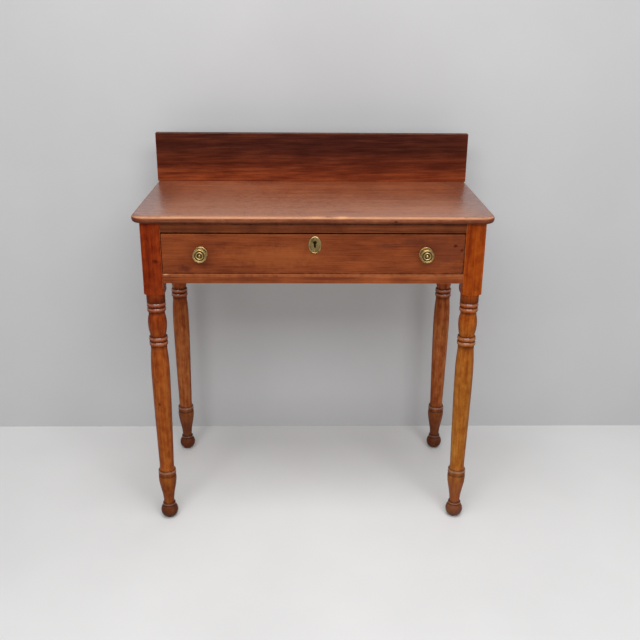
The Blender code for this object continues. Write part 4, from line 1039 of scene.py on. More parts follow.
def raised(bm: BMesh, faces: list[BMFace], height: float) -> None:
    """Thicken flat faces upwards.

    Args:
        bm: The shape.
        faces: Which of its faces.
        height: How thick they get.
    """
    grown = bmesh.ops.extrude_face_region(bm, geom=faces)["geom"]
    lifted = [item for item in grown if isinstance(item, BMVert)]
    bmesh.ops.translate(bm, verts=lifted, vec=(0, 0, height))


def forward(bm: BMesh, place: Sequence[float]) -> None:
    """Turn a shape that looks up so that it looks at the viewer, and put it in place.

    Args:
        bm: The shape.
        place: Where its origin goes.
    """
    matrix = Matrix.Translation(Vector(place)) @ Matrix.Rotation(pi / 2, 4, "X")
    bmesh.ops.transform(bm, matrix=matrix, verts=bm.verts)


def paint_points(bm: BMesh, name: str, amount: Callable[[Vector], float]) -> None:
    """Paint a value on the points of a shape.

    Args:
        bm: The shape.
        name: What the value is called.
        amount: Gives the value at a point.
    """
    layer = bm.verts.layers.float.new(name)
    for vert in bm.verts:
        vert[layer] = amount(vert.co)


def paint_faces(bm: BMesh, name: str, amount: Callable[[BMFace], float]) -> None:
    """Paint a value on whole faces, so that it stops at their edges.

    Args:
        bm: The shape.
        name: What the value is called.
        amount: Gives the value of a face.
    """
    layer = bm.loops.layers.float.new(name)
    for face in bm.faces:
        value = amount(face)
        for loop in face.loops:
            loop[layer] = value


def is_rounding(face: BMFace) -> bool:
    """Whether a face belongs to a rounded edge of a square board."""
    face.normal_update()
    return max(abs(share) for share in face.normal) < FLAT_FACE


def arris_wear(face: BMFace) -> float:
    """How far a face of a board is rubbed down to paler wood: only its eased arrises are."""
    return ARRIS_WEAR * is_rounding(face)


def is_upright(edge: BMEdge) -> bool:
    """Whether an edge of a square board or post runs along Z."""
    return abs(edge.verts[0].co.z - edge.verts[1].co.z) > LEVEL_EDGE


def middle_of(name: str) -> Vector:
    """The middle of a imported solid."""
    low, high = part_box(name)
    return Vector([(start + end) / 2 for start, end in zip(low, high)])


def piece_of(name: str, bm: BMesh, crease: float = 32.0) -> Object:
    """Make a finished shape into a piece.

    Args:
        name: What the piece is called.
        bm: Its shape, which is used up.
        crease: The angle in degrees past which an edge stays sharp.

    Returns:
        The piece, at the origin.
    """
    mesh = bpy.data.meshes.new(name)
    bm.to_mesh(mesh)
    bm.free()
    mesh.shade_smooth()
    mesh.set_sharp_from_angle(angle=radians(crease))
    piece = bpy.data.objects.new(name, mesh)
    bpy.context.scene.collection.objects.link(piece)
    return piece


def dress(piece: Object, finish: PartFinish, body: Body, *nodes: str) -> Object:
    """Give a piece its finish and its body, and hide the solids that it stands for.

    Args:
        piece: The piece.
        finish: What it is finished with.
        body: What it moves with.
        nodes: The solids that it replaces.

    Returns:
        The same piece.
    """
    piece.data.materials.clear()
    piece.data.materials.append(finish.material())
    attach(piece, body.value)
    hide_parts(*nodes)
    LOG.info("%s: %d faces, %s", piece.name, len(piece.data.polygons), finish.name)
    return piece


def merged_copy(node: Object) -> BMesh:
    """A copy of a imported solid, with its triangles joined up again.

    Args:
        node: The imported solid.

    Returns:
        The copy.
    """
    bm = bmesh.new()
    bm.from_mesh(node.data)
    bmesh.ops.remove_doubles(bm, verts=bm.verts, dist=SAME_POINT)
    bmesh.ops.dissolve_limit(bm, angle_limit=radians(0.5), verts=bm.verts, edges=bm.edges)
    return bm


def eased_copy(node: Object, side: Side, width: float) -> BMesh:
    """Copy a packed board and round the long arrises of one side.

    Args:
        node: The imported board.
        side: The side that shows.
        width: How far in the rounding starts.

    Returns:
        The eased copy.
    """
    axis, end = side.value
    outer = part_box(node.name)[end][axis]
    bm = merged_copy(node)
    arrises = []
    for edge in bm.edges:
        shows = all(abs(vert.co[axis] - outer) < SAME_LEVEL for vert in edge.verts)
        if not shows or len(edge.link_faces) != 2 or edge.calc_length() < ARRIS_LENGTH:
            continue
        if edge.calc_face_angle(0) > ARRIS_ANGLE and edge.is_convex:
            arrises.append(edge)
    round_over(bm, arrises, width, 3)
    paint_faces(bm, "wear_and_highlight", arris_wear)
    return bm


@dataclass
class Legs:
    """Four legs, each one piece: a square post above and a long turning below."""

    post: float = 0.045
    arris: float = 0.0013
    facets: int = 80
    square_bottom: float = 0.608
    widest: float = 0.0222
    foot_radius: float = 0.0215
    foot_flat: float = 0.008
    collar_radius: float = 0.0162
    collar_cut: float = 0.0012
    collar_height: float = 0.006
    ankle_neck: float = 0.0131
    ankle_neck_length: float = 0.005
    ankle_vase: float = 0.070
    ankle_lip: float = 0.005
    ankle_groove: float = 0.0025
    ankle_ring: float = 0.015
    ankle_ring_cut: float = 0.0022
    ankle_flare: float = 0.0095
    shaft_foot: float = 0.0177
    shaft_shoulder: float = 0.072
    shaft_neck: float = 0.0193
    shaft_neck_length: float = 0.010
    ring: float = 0.0123
    ring_cut: float = 0.0034
    vase_foot: float = 0.0184
    vase_foot_length: float = 0.003
    vase_body: float = 0.029
    vase_shoulder: float = 0.023
    vase_neck: float = 0.0190
    vase_head: float = 0.006
    column_cut: float = 0.0005
    column: float = 0.0205
    pommel: float = 0.012
    neck_fillet: float = 0.0008
    neck_step: float = 0.001
    lip_drop: float = 0.0004
    beyond_post: float = 0.75
    margin: float = 0.001
    headroom: float = 0.01
    post_cuts: tuple[float, ...] = (0.625, 0.660, 0.720)
    groove_width: float = 0.0022
    ball_dirt: float = 0.70
    ball_fade: float = 0.25
    vase_dirt: float = 0.30
    ankle_dirt: float = 0.42
    post_wear: float = 0.30
    # How far the rings' crests are rubbed paler, which also paints their highlight.
    upper_wear_and_highlight: float = 0.30
    lower_wear_and_highlight: float = 0.15
    crest: float = 0.66
    crest_width: float = 0.12
    shine: Span = (0.55, 0.92)

    def heights(self) -> dict[str, float]:
        """Work out the heights of the turning from the floor up and from the post down.

        Returns:
            Each height by name.
        """
        root = self.collar_radius - self.collar_cut
        ball = sqrt(self.foot_radius**2 - self.foot_flat**2)
        at = {"ball": ball, "foot_top": ball + sqrt(self.foot_radius**2 - root**2)}
        at["collar_top"] = at["foot_top"] + self.collar_height
        at["neck_top"] = at["collar_top"] + self.ankle_neck_length
        at["ankle_top"] = at["neck_top"] + self.ankle_vase
        at["lip_top"] = at["ankle_top"] + self.ankle_lip
        at["ring_low"] = at["lip_top"] + self.ankle_groove
        at["ring_top"] = at["ring_low"] + self.ankle_ring
        at["shaft_low"] = at["ring_top"] + self.ankle_flare
        at["upper_rings"] = self.square_bottom - self.column - 2 * self.ring
        at["vase_neck"] = at["upper_rings"] - self.vase_head
        at["vase_belly"] = at["vase_neck"] - self.vase_shoulder
        at["vase_low"] = at["vase_belly"] - self.vase_body
        at["lower_rings"] = at["vase_low"] - self.vase_foot_length - 2 * self.ring
        at["shaft_neck"] = at["lower_rings"] - self.shaft_neck_length
        at["shaft_belly"] = at["shaft_neck"] - self.shaft_shoulder
        return at

    def profile(self, above: float) -> Profile:
        """The turning's outline, from the floor to above the post.

        Args:
            above: A height above the post.

        Returns:
            Radius and height of each point.
        """
        at = self.heights()
        root = self.collar_radius - self.collar_cut
        flat = -degrees(acos(self.foot_flat / self.foot_radius))
        meeting = degrees(acos(root / self.foot_radius))
        ankle_root = self.widest - self.ankle_ring_cut
        ring_root = self.widest - self.ring_cut
        column = self.widest - self.column_cut
        beyond = self.beyond_post * self.post
        points = [(0.0, 0.0)]
        points += arc((0, at["ball"]), (self.foot_radius, self.foot_radius), flat, meeting, 22)
        points += bead(at["foot_top"], at["collar_top"], root, self.collar_radius, 10)
        points += [(self.ankle_neck + self.neck_fillet, at["collar_top"])]
        points += [(self.ankle_neck, at["collar_top"] + self.neck_step)]
        points += [(self.ankle_neck, at["neck_top"])]
        points += sweep(points[-1], (self.widest, at["ankle_top"]), ease, 26)
        points += sweep(points[-1], (self.widest - self.lip_drop, at["lip_top"]), swell, 5)
        points += bead(at["ring_low"], at["ring_top"], ankle_root, self.widest, 16)
        points += sweep((ankle_root, at["ring_top"]), (self.shaft_foot, at["shaft_low"]), swell, 8)
        points += sweep(points[-1], (self.widest, at["shaft_belly"]), entasis, 36)
        points += sweep(points[-1], (self.shaft_neck, at["shaft_neck"]), lambda t: t**2.5, 18)
        points += [(self.shaft_neck, at["lower_rings"] - self.neck_step)]
        for low in (at["lower_rings"], at["lower_rings"] + self.ring):
            points += bead(low, low + self.ring, ring_root, self.widest)
        points += [(self.vase_foot, at["vase_low"])]
        points += sweep(points[-1], (self.widest, at["vase_belly"]), swell, 16)
        points += sweep(points[-1], (self.vase_neck, at["vase_neck"]), lambda t: t**2, 14)
        for low in (at["upper_rings"], at["upper_rings"] + self.ring):
            points += bead(low, low + self.ring, ring_root, self.widest)
        points += [(column, at["upper_rings"] + 2 * self.ring)]
        square = (column, self.square_bottom + self.pommel)
        points += arc(square, (beyond - column, self.pommel), -90, 0, 14)
        return points + [(beyond, above), (0.0, above)]

    def darkening(self, height: float) -> float:
        """How much dirt and dark polish the turning holds at a height.

        Args:
            height: The height above the floor.

        Returns:
            The share from 0 to 1.
        """
        at = self.heights()
        grooves = {
            at["foot_top"]: 0.9,
            at["collar_top"]: 0.8,
            (at["lip_top"] + at["ring_low"]) / 2: 0.95,
            at["ring_top"]: 0.7,
            at["lower_rings"]: 0.75,
            at["lower_rings"] + self.ring: 0.9,
            at["lower_rings"] + 2 * self.ring: 0.8,
            at["upper_rings"]: 0.75,
            at["upper_rings"] + self.ring: 0.9,
            at["upper_rings"] + 2 * self.ring: 0.8,
        }
        shares = []
        for middle, depth in grooves.items():
            shares.append(depth * exp(-(((height - middle) / self.groove_width) ** 2)))
        if height < at["foot_top"]:
            shares.append(self.ball_dirt - self.ball_fade * height / at["foot_top"])
        elif at["collar_top"] < height < at["lip_top"]:
            shares.append(self.vase_dirt)
        elif height < at["ring_top"]:
            shares.append(self.ankle_dirt)
        return max(shares)

    def leg(self, name: str) -> BMesh:
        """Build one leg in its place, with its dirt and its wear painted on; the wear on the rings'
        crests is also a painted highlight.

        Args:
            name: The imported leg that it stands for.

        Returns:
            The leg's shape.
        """
        low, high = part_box(name)
        middle = (low + high) / 2
        half = self.post / 2
        square = block((-half, -half, low.z - self.margin), (half, half, high.z))
        round_over(square, filter(is_upright, square.edges), self.arris, 3)
        turned = turning(self.profile(high.z + self.headroom), self.facets)
        leg = worked(turned, square, Join.SHARED)
        for height in self.post_cuts:
            geom = leg.verts[:] + leg.edges[:] + leg.faces[:]
            bmesh.ops.bisect_plane(leg, geom=geom, plane_co=(0, 0, height), plane_no=(0, 0, 1))
        paint_points(leg, "grime_and_shade", lambda co: self.darkening(co.z))
        paint_faces(leg, "wear_and_highlight", self.wear_and_highlight)
        move(leg, (middle.x, middle.y, 0))
        return leg

    def build(self) -> None:
        """Build the four legs and dress them, with a shine on the crests of their rings."""
        finishes = {
            "front_left_leg": LEG_WOOD,
            "front_right_leg": RIGHT_LEG_WOOD,
            "rear_left_leg": REAR_LEG_WOOD,
            "rear_right_leg": REAR_LEG_WOOD,
        }
        low, high = self.shine
        for name, finish in finishes.items():
            piece = dress(piece_of(f"{name}_turned", self.leg(name)), finish, Body.FRAME, name)
            piece.data.materials.append(finish.burnished().material())
            for face in piece.data.polygons:
                face.material_index = int(low < self.ring_share(face.center.z) < high)

    def ring_share(self, height: float) -> float:
        """How far up its ring a height of the turning lies.

        Args:
            height: The height above the floor.

        Returns:
            The share from 0 to 1, or -1 where the turning has no ring.
        """
        at = self.heights()
        rings = [(at["foot_top"], at["collar_top"]), (at["ring_low"], at["ring_top"])]
        for name in ("lower_rings", "upper_rings"):
            rings += [(at[name] + i * self.ring, at[name] + (i + 1) * self.ring) for i in range(2)]
        for low, high in rings:
            if low < height < high:
                return (height - low) / (high - low)
        return -1.0

    def wear_and_highlight(self, face: BMFace) -> float:
        """How far a face of a leg is rubbed down to paler wood: its arrises, and its rings' crests,
        where the paler wood is also a painted highlight.

        Args:
            face: The face.

        Returns:
            The share from 0 to 1.
        """
        height = face.calc_center_median().z
        if height > self.square_bottom + self.pommel:
            return self.post_wear * is_rounding(face)
        rubbed = self.upper_wear_and_highlight if height > self.heights()["shaft_low"] else self.lower_wear_and_highlight
        return rubbed * exp(-(((self.ring_share(height) - self.crest) / self.crest_width) ** 2))


@dataclass(frozen=True)
class ScrewSize:
    """The radius of a screw's head and of its shank."""

    head: float
    shank: float


BACKSPLASH_SCREW = ScrewSize(0.0042, 0.0021)
LOCK_SCREW = ScrewSize(0.0028, 0.0014)


@dataclass
class Top:
    """The top board with its rounded edge, and the backsplash that stands on it."""

    corner: float = 0.030
    edge: float = 0.007
    arris: float = 0.0013
    hole_facets: int = 24
    hole_mouth: float = -0.004
    hole_end: float = 0.03
    level: float = 0.97
    frontal: float = -0.3
    # Where the top's upper rounding is rubbed paler, which also paints its highlight.
    rub_and_highlight_span: Span = (0.35, 0.93)
    front_rub_and_highlight: float = 0.70
    end_rub_and_highlight: float = 0.30
    # How dark the edge is painted as shade, more where it faces down.
    most_shade: float = 0.75
    shade_base: float = 0.42
    shade_slope: float = 0.70

    def board(self) -> BMesh:
        """The top board with its holes for the screws, its wear with a painted highlight and painted
        shade on its edge.

        Returns:
            The board's shape.
        """
        low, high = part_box("top_board")
        board = block(low, high)
        corners = [edge for edge in board.edges if is_upright(edge) and edge.verts[0].co.y < 0]
        round_over(board, corners, self.corner, 12)
        level = [edge for edge in board.edges if not is_upright(edge)]
        rims = [edge for edge in level if min(vert.co.y for vert in edge.verts) < high.y - FIT]
        round_over(board, rims, self.edge, 8)
        for place in THIRDS:
            board = worked(board, self.screw_hole(f"backsplash_{place}_screw"), Join.CUT)
        paint_faces(board, "wear_and_highlight", self.wear_and_highlight)
        paint_faces(board, "grime_and_shade", self.edge_shade)
        return board

    def screw_hole(self, name: str) -> BMesh:
        """A countersunk hole for one screw through the top.

        Args:
            name: The screw that goes in it.

        Returns:
            The hole as a solid.
        """
        head = BACKSPLASH_SCREW.head + FIT
        shank = BACKSPLASH_SCREW.shank + FIT
        profile = [(0, self.hole_mouth), (head, self.hole_mouth), (head, 0)]
        profile += [(shank, head - shank), (shank, self.hole_end), (0, self.hole_end)]
        hole = turning(profile, self.hole_facets)
        middle = middle_of(name)
        move(hole, (middle.x, middle.y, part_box(name)[0].z))
        return hole

    def backsplash(self) -> BMesh:
        """The backsplash, with all but its lower arrises eased and worn.

        Returns:
            The board's shape.
        """
        low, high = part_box("backsplash")
        splash = block(low, high)
        upper = [edge for edge in splash.edges if max(v.co.z for v in edge.verts) > low.z + FIT]
        round_over(splash, upper, self.arris, 4)
        paint_faces(splash, "wear_and_highlight", arris_wear)
        return splash

    def wear_and_highlight(self, face: BMFace) -> float:
        """How far a face of the top is rubbed down, which also paints its highlight: most on the upper
        rounding in front.

        Args:
            face: The face.

        Returns:
            The share from 0 to 1.
        """
        face.normal_update()
        low, high = self.rub_and_highlight_span
        if not low < face.normal.z < high:
            return 0.0
        return self.front_rub_and_highlight if face.normal.y < self.frontal else self.end_rub_and_highlight

    def edge_shade(self, face: BMFace) -> float:
        """How dark a face of the top's edge is painted as shade: more towards its lower arris.

        Args:
            face: The face.

        Returns:
            The share from 0 to 1.
        """
        face.normal_update()
        if abs(face.normal.z) > self.level:
            return 0.0
        return max(0.0, min(self.most_shade, self.shade_base - self.shade_slope * face.normal.z))

    def build(self) -> None:
        """Build both boards and dress them, with less wax on the edge of the top."""
        piece = piece_of("top_board_rounded", self.board(), 25)
        dress(piece, TOP_WOOD, Body.FRAME, "top_board")
        piece.data.materials.append(EDGE_WOOD.material())
        for face in piece.data.polygons:
            face.material_index = int(face.normal.z < self.level)
        piece = piece_of("backsplash_eased", self.backsplash())
        dress(piece, BACKSPLASH_WOOD, Body.FRAME, "backsplash")


@dataclass
class Rails:
    """The front rails and the side aprons, with their outer arrises eased."""

    nodes: dict[str, Object]
    arris: float = 0.0008

    def build(self) -> None:
        """Ease copies of the rails and aprons and dress them."""
        boards = {
            "upper_front_rail": (Side.FRONT, UPPER_RAIL_WOOD),
            "lower_front_rail": (Side.FRONT, RAIL_WOOD),
            "left_side_apron": (Side.LEFT, SIDE_WOOD),
            "right_side_apron": (Side.RIGHT, SIDE_WOOD),
        }
        for name, (side, finish) in boards.items():
            bm = eased_copy(self.nodes[name], side, self.arris)
            dress(piece_of(f"{name}_eased", bm), finish, Body.FRAME, name)


@dataclass
class DrawerFront:
    """The drawer's front board, with its arrises eased."""

    nodes: dict[str, Object]
    arris: float = 0.0009
    keyhole_shade: float = 0.95
    wall: float = 0.5

    def build(self) -> None:
        """Ease a copy of the front, paint shade in its keyhole and dress it."""
        bm = eased_copy(self.nodes["drawer_front"], Side.FRONT, self.arris)
        # Painted shade on the walls of the keyhole.
        paint_faces(bm, "grime_and_shade", self.shade_in_keyhole)
        dress(piece_of("drawer_front_eased", bm), DRAWER_WOOD, Body.DRAWER, "drawer_front")

    def shade_in_keyhole(self, face: BMFace) -> float:
        """How dark a face is painted as shade, which only the walls of the keyhole are.

        Args:
            face: The face.

        Returns:
            The share from 0 to 1.
        """
        low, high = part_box("escutcheon")
        middle = face.calc_center_median()
        behind = low.x < middle.x < high.x and low.z < middle.z < high.z
        return self.keyhole_shade if behind and abs(face.normal.y) < self.wall else 0.0


@dataclass
class Knobs:
    """Two brass knobs: ringed heads on waisted spindles, with round plates behind."""

    facets: int = 72
    radius: float = 0.0158
    back_depth: float = 0.0045
    rim: float = 0.0016
    rim_width: float = 0.0013
    rim_rise: float = 0.0007
    cove: float = 0.0009
    outer_ring: tuple[float, float, float] = (0.0129, 0.0031, 0.0013)
    inner_ring: tuple[float, float, float] = (0.0075, 0.0036, 0.0020)
    button: float = 0.0036
    button_rise: float = 0.0026
    seat: float = 0.0065
    socket_depth: float = 0.0048
    bolt: float = 0.0025
    nose: float = 0.003
    nose_length: float = 0.0042
    neck: float = 0.0052
    neck_length: float = 0.0125
    flange: float = 0.0088
    flange_height: float = 0.0012
    plate: float = 0.0158
    plate_thickness: float = 0.0022
    plate_edge: float = 0.0009
    thread: float = 0.0008
    thread_length: float = 0.009
    spindle_facets: int = 40
    plate_grooves: tuple[float, ...] = (0.0012, 0.0032)
    groove_size: Point = (0.0005, 0.0004)
    back_dirt: float = 0.45
    face_dirt: float = 0.9
    dirt_depth: float = 0.0016
    spindle_dirt: float = 0.5
    plate_dirt: float = 0.6
    plate_clean: float = 0.8

    def head(self) -> Profile:
        """The head's outline, from its socket round its back and rim to the button on its face.

        Returns:
            Radius and height of each point.
        """
        socket = self.nose + FIT
        rim_top = self.back_depth + self.rim
        points = [(0, self.socket_depth), (socket, self.socket_depth), (socket, 0), (self.seat, 0)]
        points += sweep(points[-1], (self.radius, self.back_depth), sqrt, 14)
        floor = rim_top - self.cove
        half = self.rim_width / 2
        points += arc((self.radius - half, rim_top), (half, self.rim_rise), 0, 180, 10)
        for middle, width, rise in (self.outer_ring, self.inner_ring):
            points += arc((middle, floor), (width / 2, rise + self.cove), 0, 180, 16)
        points += arc((0, floor), (self.button, self.button_rise + self.cove), 0, 90, 10)[:-1]
        return points + [(0, rim_top + self.button_rise)]

    def spindle(self, tail: float) -> Profile:
        """The spindle's outline, from its threaded end inside the drawer to its nose.

        Args:
            tail: How far it reaches behind its flange.

        Returns:
            Radius and height of each point.
        """
        points = [(0, -tail), (self.bolt - self.thread / 3, -tail)]
        start = -tail + self.thread / 2
        turns = int(self.thread_length / self.thread)
        for i in range(turns):
            crest = start + i * self.thread
            points += [(self.bolt, crest), (self.bolt - self.thread / 3, crest + self.thread / 2)]
        points += [(self.bolt, start + turns * self.thread), (self.bolt, 0), (self.flange, 0)]
        points += [(self.flange, self.flange_height)]
        points += sweep(points[-1], (self.neck, self.neck_length / 2), lambda t: 1 - (1 - t) ** 3, 12)
        points += sweep(points[-1], (self.seat, self.neck_length), lambda t: t**2, 10)
        points += [(self.nose, self.neck_length), (self.nose, self.neck_length + self.nose_length)]
        return points + [(0, self.neck_length + self.nose_length)]

    def backplate(self) -> Profile:
        """The plate's outline, with a rim that rolls down to the wood.

        Returns:
            Radius and height of each point.
        """
        hole = self.bolt + FIT
        rise = self.plate_thickness - self.plate_edge
        inner = self.plate - rise
        points = [(hole, 0), (self.plate, 0), (self.plate, self.plate_edge)]
        points += arc((inner, self.plate_edge), (rise, rise), 0, 90, 8)[1:]
        for inset in self.plate_grooves:
            points += arc((inner - inset, self.plate_thickness), self.groove_size, 0, -180, 6)
        return points + [(hole, self.plate_thickness), (hole, 0)]

    def groove_dirt(self, point: Vector) -> float:
        """How much dirt a point of the head holds, before the head is turned forward.

        Args:
            point: The point.

        Returns:
            The share from 0 to 1.
        """
        floor = self.back_depth + self.rim - self.cove
        if point.z < floor - FIT:
            return self.back_dirt
        held = self.face_dirt - (point.z - floor) / self.dirt_depth
        return max(0.0, min(self.face_dirt, held))

    def build(self) -> None:
        """Build both knobs and dress them."""
        clean = self.plate_clean * self.plate
        for side in SIDES:
            name = f"{side}_knob"
            middle = middle_of(name)
            head = turning(self.head(), self.facets)
            paint_points(head, "grime_and_shade", self.groove_dirt)
            forward(head, (middle.x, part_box(name)[1].y, middle.z))
            dress(piece_of(f"{name}_ringed", head, 50), BRASS, Body.DRAWER, name)

            name = f"{side}_knob_spindle"
            low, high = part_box(name)
            flange = low.y + self.neck_length + self.nose_length
            spindle = turning(self.spindle(high.y - flange), self.spindle_facets)
            paint_points(spindle, "grime_and_shade", lambda co: self.spindle_dirt)
            forward(spindle, (middle.x, flange, middle.z))
            dress(piece_of(f"{name}_threaded", spindle, 40), BRASS, Body.DRAWER, name)

            name = f"{side}_knob_backplate"
            plate = turning(self.backplate(), self.facets)
            paint_points(plate, "grime_and_shade", lambda co: self.plate_dirt if co.xy.length < clean else 0.0)
            forward(plate, (middle.x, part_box(name)[1].y, middle.z))
            dress(piece_of(f"{name}_rolled", plate, 40), BRASS, Body.DRAWER, name)


@dataclass
class Escutcheon:
    """The oval plate round the keyhole, with a raised rim, a keyhole and two domed pins."""

    facets: int = 96
    edge: float = 0.0008
    rim: float = 0.0018
    rise: float = 0.0011
    field_width: float = 0.0014
    sink: float = 0.0008
    ease: float = 0.00025
    key_radius: float = 0.0042
    slot_width: float = 0.0046
    slot_drop: float = 0.0115
    key_lift: float = 0.0055
    pin_spacing: float = 0.0285
    pin_radius: float = 0.0007
    pin_head: float = 0.0012
    pin_rise: float = 0.0006
    fold: float = radians(12)
    cut_depth: float = 0.004
    bore_facets: int = 16
    pin_facets: int = 28
    sunk: float = 0.6
    most_dirt_and_shade: float = 0.6
    least_dirt: float = 0.1

    def plate(self, width: float, height: float) -> BMesh:
        """The oval plate with its raised rim, lying face up.

        Args:
            width: How wide the oval is.
            height: How tall it is.

        Returns:
            The plate.
        """
        bm = bmesh.new()
        oval = Matrix.Diagonal((width / 2, height / 2, 1, 1))
        bmesh.ops.create_circle(bm, cap_ends=True, segments=self.facets, radius=1, matrix=oval)
        raised(bm, bm.faces[:], self.edge)
        face = max(bm.faces, key=lambda f: f.calc_center_median().z)
        for inset, step in ((self.rim, self.rise), (self.field_width, -self.sink)):
            bmesh.ops.recalc_face_normals(bm, faces=bm.faces)
            bmesh.ops.inset_individual(bm, faces=[face], thickness=inset, depth=step)
        folds = [edge for edge in bm.edges if edge.calc_face_angle(0) > self.fold]
        rims = [edge for edge in folds if min(vert.co.z for vert in edge.verts) > SAME_LEVEL]
        round_over(bm, rims, self.ease, 3)
        return bm

    def keyhole(self) -> BMesh:
        """The keyhole as a solid: a round above a slot.

        Returns:
            The solid, with the middle of the round at the keyhole's lift.
        """
        half = self.slot_width / 2
        opening = degrees(asin(half / self.key_radius))
        size = (self.key_radius, self.key_radius)
        outline = arc((0, 0), size, -90 + opening, 270 - opening, 40)
        outline += [(-half, -self.slot_drop), (half, -self.slot_drop)]
        bm = bmesh.new()
        face = bm.faces.new([bm.verts.new((x, y, -self.cut_depth)) for x, y in outline])
        raised(bm, [face], 2 * self.cut_depth)
        bmesh.ops.recalc_face_normals(bm, faces=bm.faces)
        move(bm, (0, self.key_lift, 0))
        return bm

    def bore(self, lift: float) -> BMesh:
        """A hole for a pin, as a solid.

        Args:
            lift: How far above the plate's middle it lies.

        Returns:
            The solid.
        """
        wide, depth = self.pin_radius + FIT, self.cut_depth
        bm = turning([(0, -depth), (wide, -depth), (wide, depth), (0, depth)], self.bore_facets)
        move(bm, (0, lift, 0))
        return bm

    def pin(self, shank: float) -> Profile:
        """A pin's outline, from its point to its domed head.

        Args:
            shank: How far it reaches behind its head.

        Returns:
            Radius and height of each point.
        """
        points = [(0, -shank), (self.pin_radius, -shank + self.pin_radius)]
        points += [(self.pin_radius, 0), (self.pin_head, 0)]
        points += arc((0, 0), (self.pin_head, self.pin_rise), 0, 90, 8)[1:-1]
        return points + [(0, self.pin_rise)]

    def grease_and_shade(self, point: Vector, foot: float) -> float:
        """How dark a point is before the plate is turned: darkest with dirt in its field and with
        painted shade at its foot.
        """
        floor = self.edge + self.rise - self.sunk * self.sink
        return self.most_dirt_and_shade if point.z < floor or point.y < foot else self.least_dirt

    def build(self) -> None:
        """Build the plate and its pins and dress them."""
        low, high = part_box("escutcheon")
        middle = (low + high) / 2
        plate = worked(self.plate(high.x - low.x, high.z - low.z), self.keyhole(), Join.CUT)
        for lift in (-self.pin_spacing / 2, self.pin_spacing / 2):
            plate = worked(plate, self.bore(lift), Join.CUT)
        # Painted shade at the foot of the plate, dirt in its field.
        foot = (low.z - high.z) / 3
        paint_points(plate, "grime_and_shade", lambda co: self.grease_and_shade(co, foot))
        forward(plate, (middle.x, high.y, middle.z))
        dress(piece_of("escutcheon_rimmed", plate, 30), BRASS, Body.DRAWER, "escutcheon")

        for name in ("escutcheon_upper_pin", "escutcheon_lower_pin"):
            low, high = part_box(name)
            middle = middle_of(name)
            pin = turning(self.pin(high.y - low.y - self.pin_rise), self.pin_facets)
            forward(pin, (middle.x, low.y + self.pin_rise, middle.z))
            dress(piece_of(f"{name}_domed", pin, 50), BRASS, Body.DRAWER, name)


@dataclass
class Screws:
    """Slotted iron screws that hold the backsplash and the lock."""

    facets: int = 32
    slot_share: float = 0.24
    slot_depth: float = 0.0009
    slot_mouth: float = -0.002
    slot_turn: float = radians(28)
    lip: float = 0.0002
    plain: float = 0.001
    pitch_share: float = 1.1
    root_share: float = 0.78

    def screw(self, length: float, size: ScrewSize) -> BMesh:
        """A countersunk screw with a slotted head, its head's face at zero and its point up.

        Args:
            length: How long it is.
            size: How wide its head and its shank are.

        Returns:
            The screw.
        """
        head, shank = size.head, size.shank
        height = head - shank + self.plain
        points = [(0, 0), (head - self.lip, 0), (head, self.lip), (shank, head - shank), (shank, height)]
        pitch = self.pitch_share * shank
        while height + pitch < length - shank:
            points += [(shank * self.root_share, height + pitch / 3), (shank, height + pitch)]
            height += pitch
        bm = turning(points + [(0, length)], self.facets)
        half = self.slot_share * head / 2
        slot = block((-2 * head, -half, self.slot_mouth), (2 * head, half, self.slot_depth))
        turn = Matrix.Rotation(self.slot_turn, 3, "Z")
        bmesh.ops.rotate(slot, verts=slot.verts, cent=STILL, matrix=turn)
        return worked(bm, slot, Join.CUT)

    def build(self) -> None:
        """Build the screws and dress them."""
        for place in THIRDS:
            name = f"backsplash_{place}_screw"
            low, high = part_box(name)
            middle = middle_of(name)
            screw = self.screw(high.z - low.z, BACKSPLASH_SCREW)
            move(screw, (middle.x, middle.y, low.z))
            dress(piece_of(f"{name}_slotted", screw), IRON, Body.FRAME, name)
        for corner in ("lower_left", "lower_right", "upper_left", "upper_right"):
            name = f"lock_{corner}_screw"
            low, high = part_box(name)
            middle = middle_of(name)
            screw = self.screw(high.y - low.y, LOCK_SCREW)
            forward(screw, (middle.x, high.y, middle.z))
            dress(piece_of(f"{name}_slotted", screw), IRON, Body.DRAWER, name)


@dataclass
class CarriedPieces:
    """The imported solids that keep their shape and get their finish."""

    nodes: dict[str, Object]

    @staticmethod
    def finishes() -> dict[str, PartFinish]:
        """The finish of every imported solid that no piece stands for.

        Returns:
            Each finish by the solid's name.
        """
        across = ("back_apron", "drawer_back", "left_drawer_stop", "right_drawer_stop")
        across += ("back_left_glue_block", "back_right_glue_block")
        along = ("drawer_runner", "drawer_guide", "kicker", "front_glue_block", "rear_glue_block")
        found: dict[str, PartFinish] = {"drawer_bottom": DRAWER_BOTTOM_WOOD}
        found |= dict.fromkeys(across, INNER_ACROSS)
        for side in SIDES:
            found[f"drawer_{side}_side"] = DRAWER_SIDE_WOOD
            found |= {f"{side}_{kind}": INNER_WOOD for kind in along}
            found[f"{side}_knob_nut"] = BRASS
        found |= {"lock_case": DARK_BRASS, "lock_bolt": BRASS}
        return found | {f"drawer_bottom_{place}_nail": IRON for place in THIRDS}

    def build(self) -> None:
        """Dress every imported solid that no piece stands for."""
        for name, finish in self.finishes().items():
            for slot in self.nodes[name].material_slots:
                slot.material = finish.material()
            LOG.info("%s: packed shape, %s", name, finish.name)


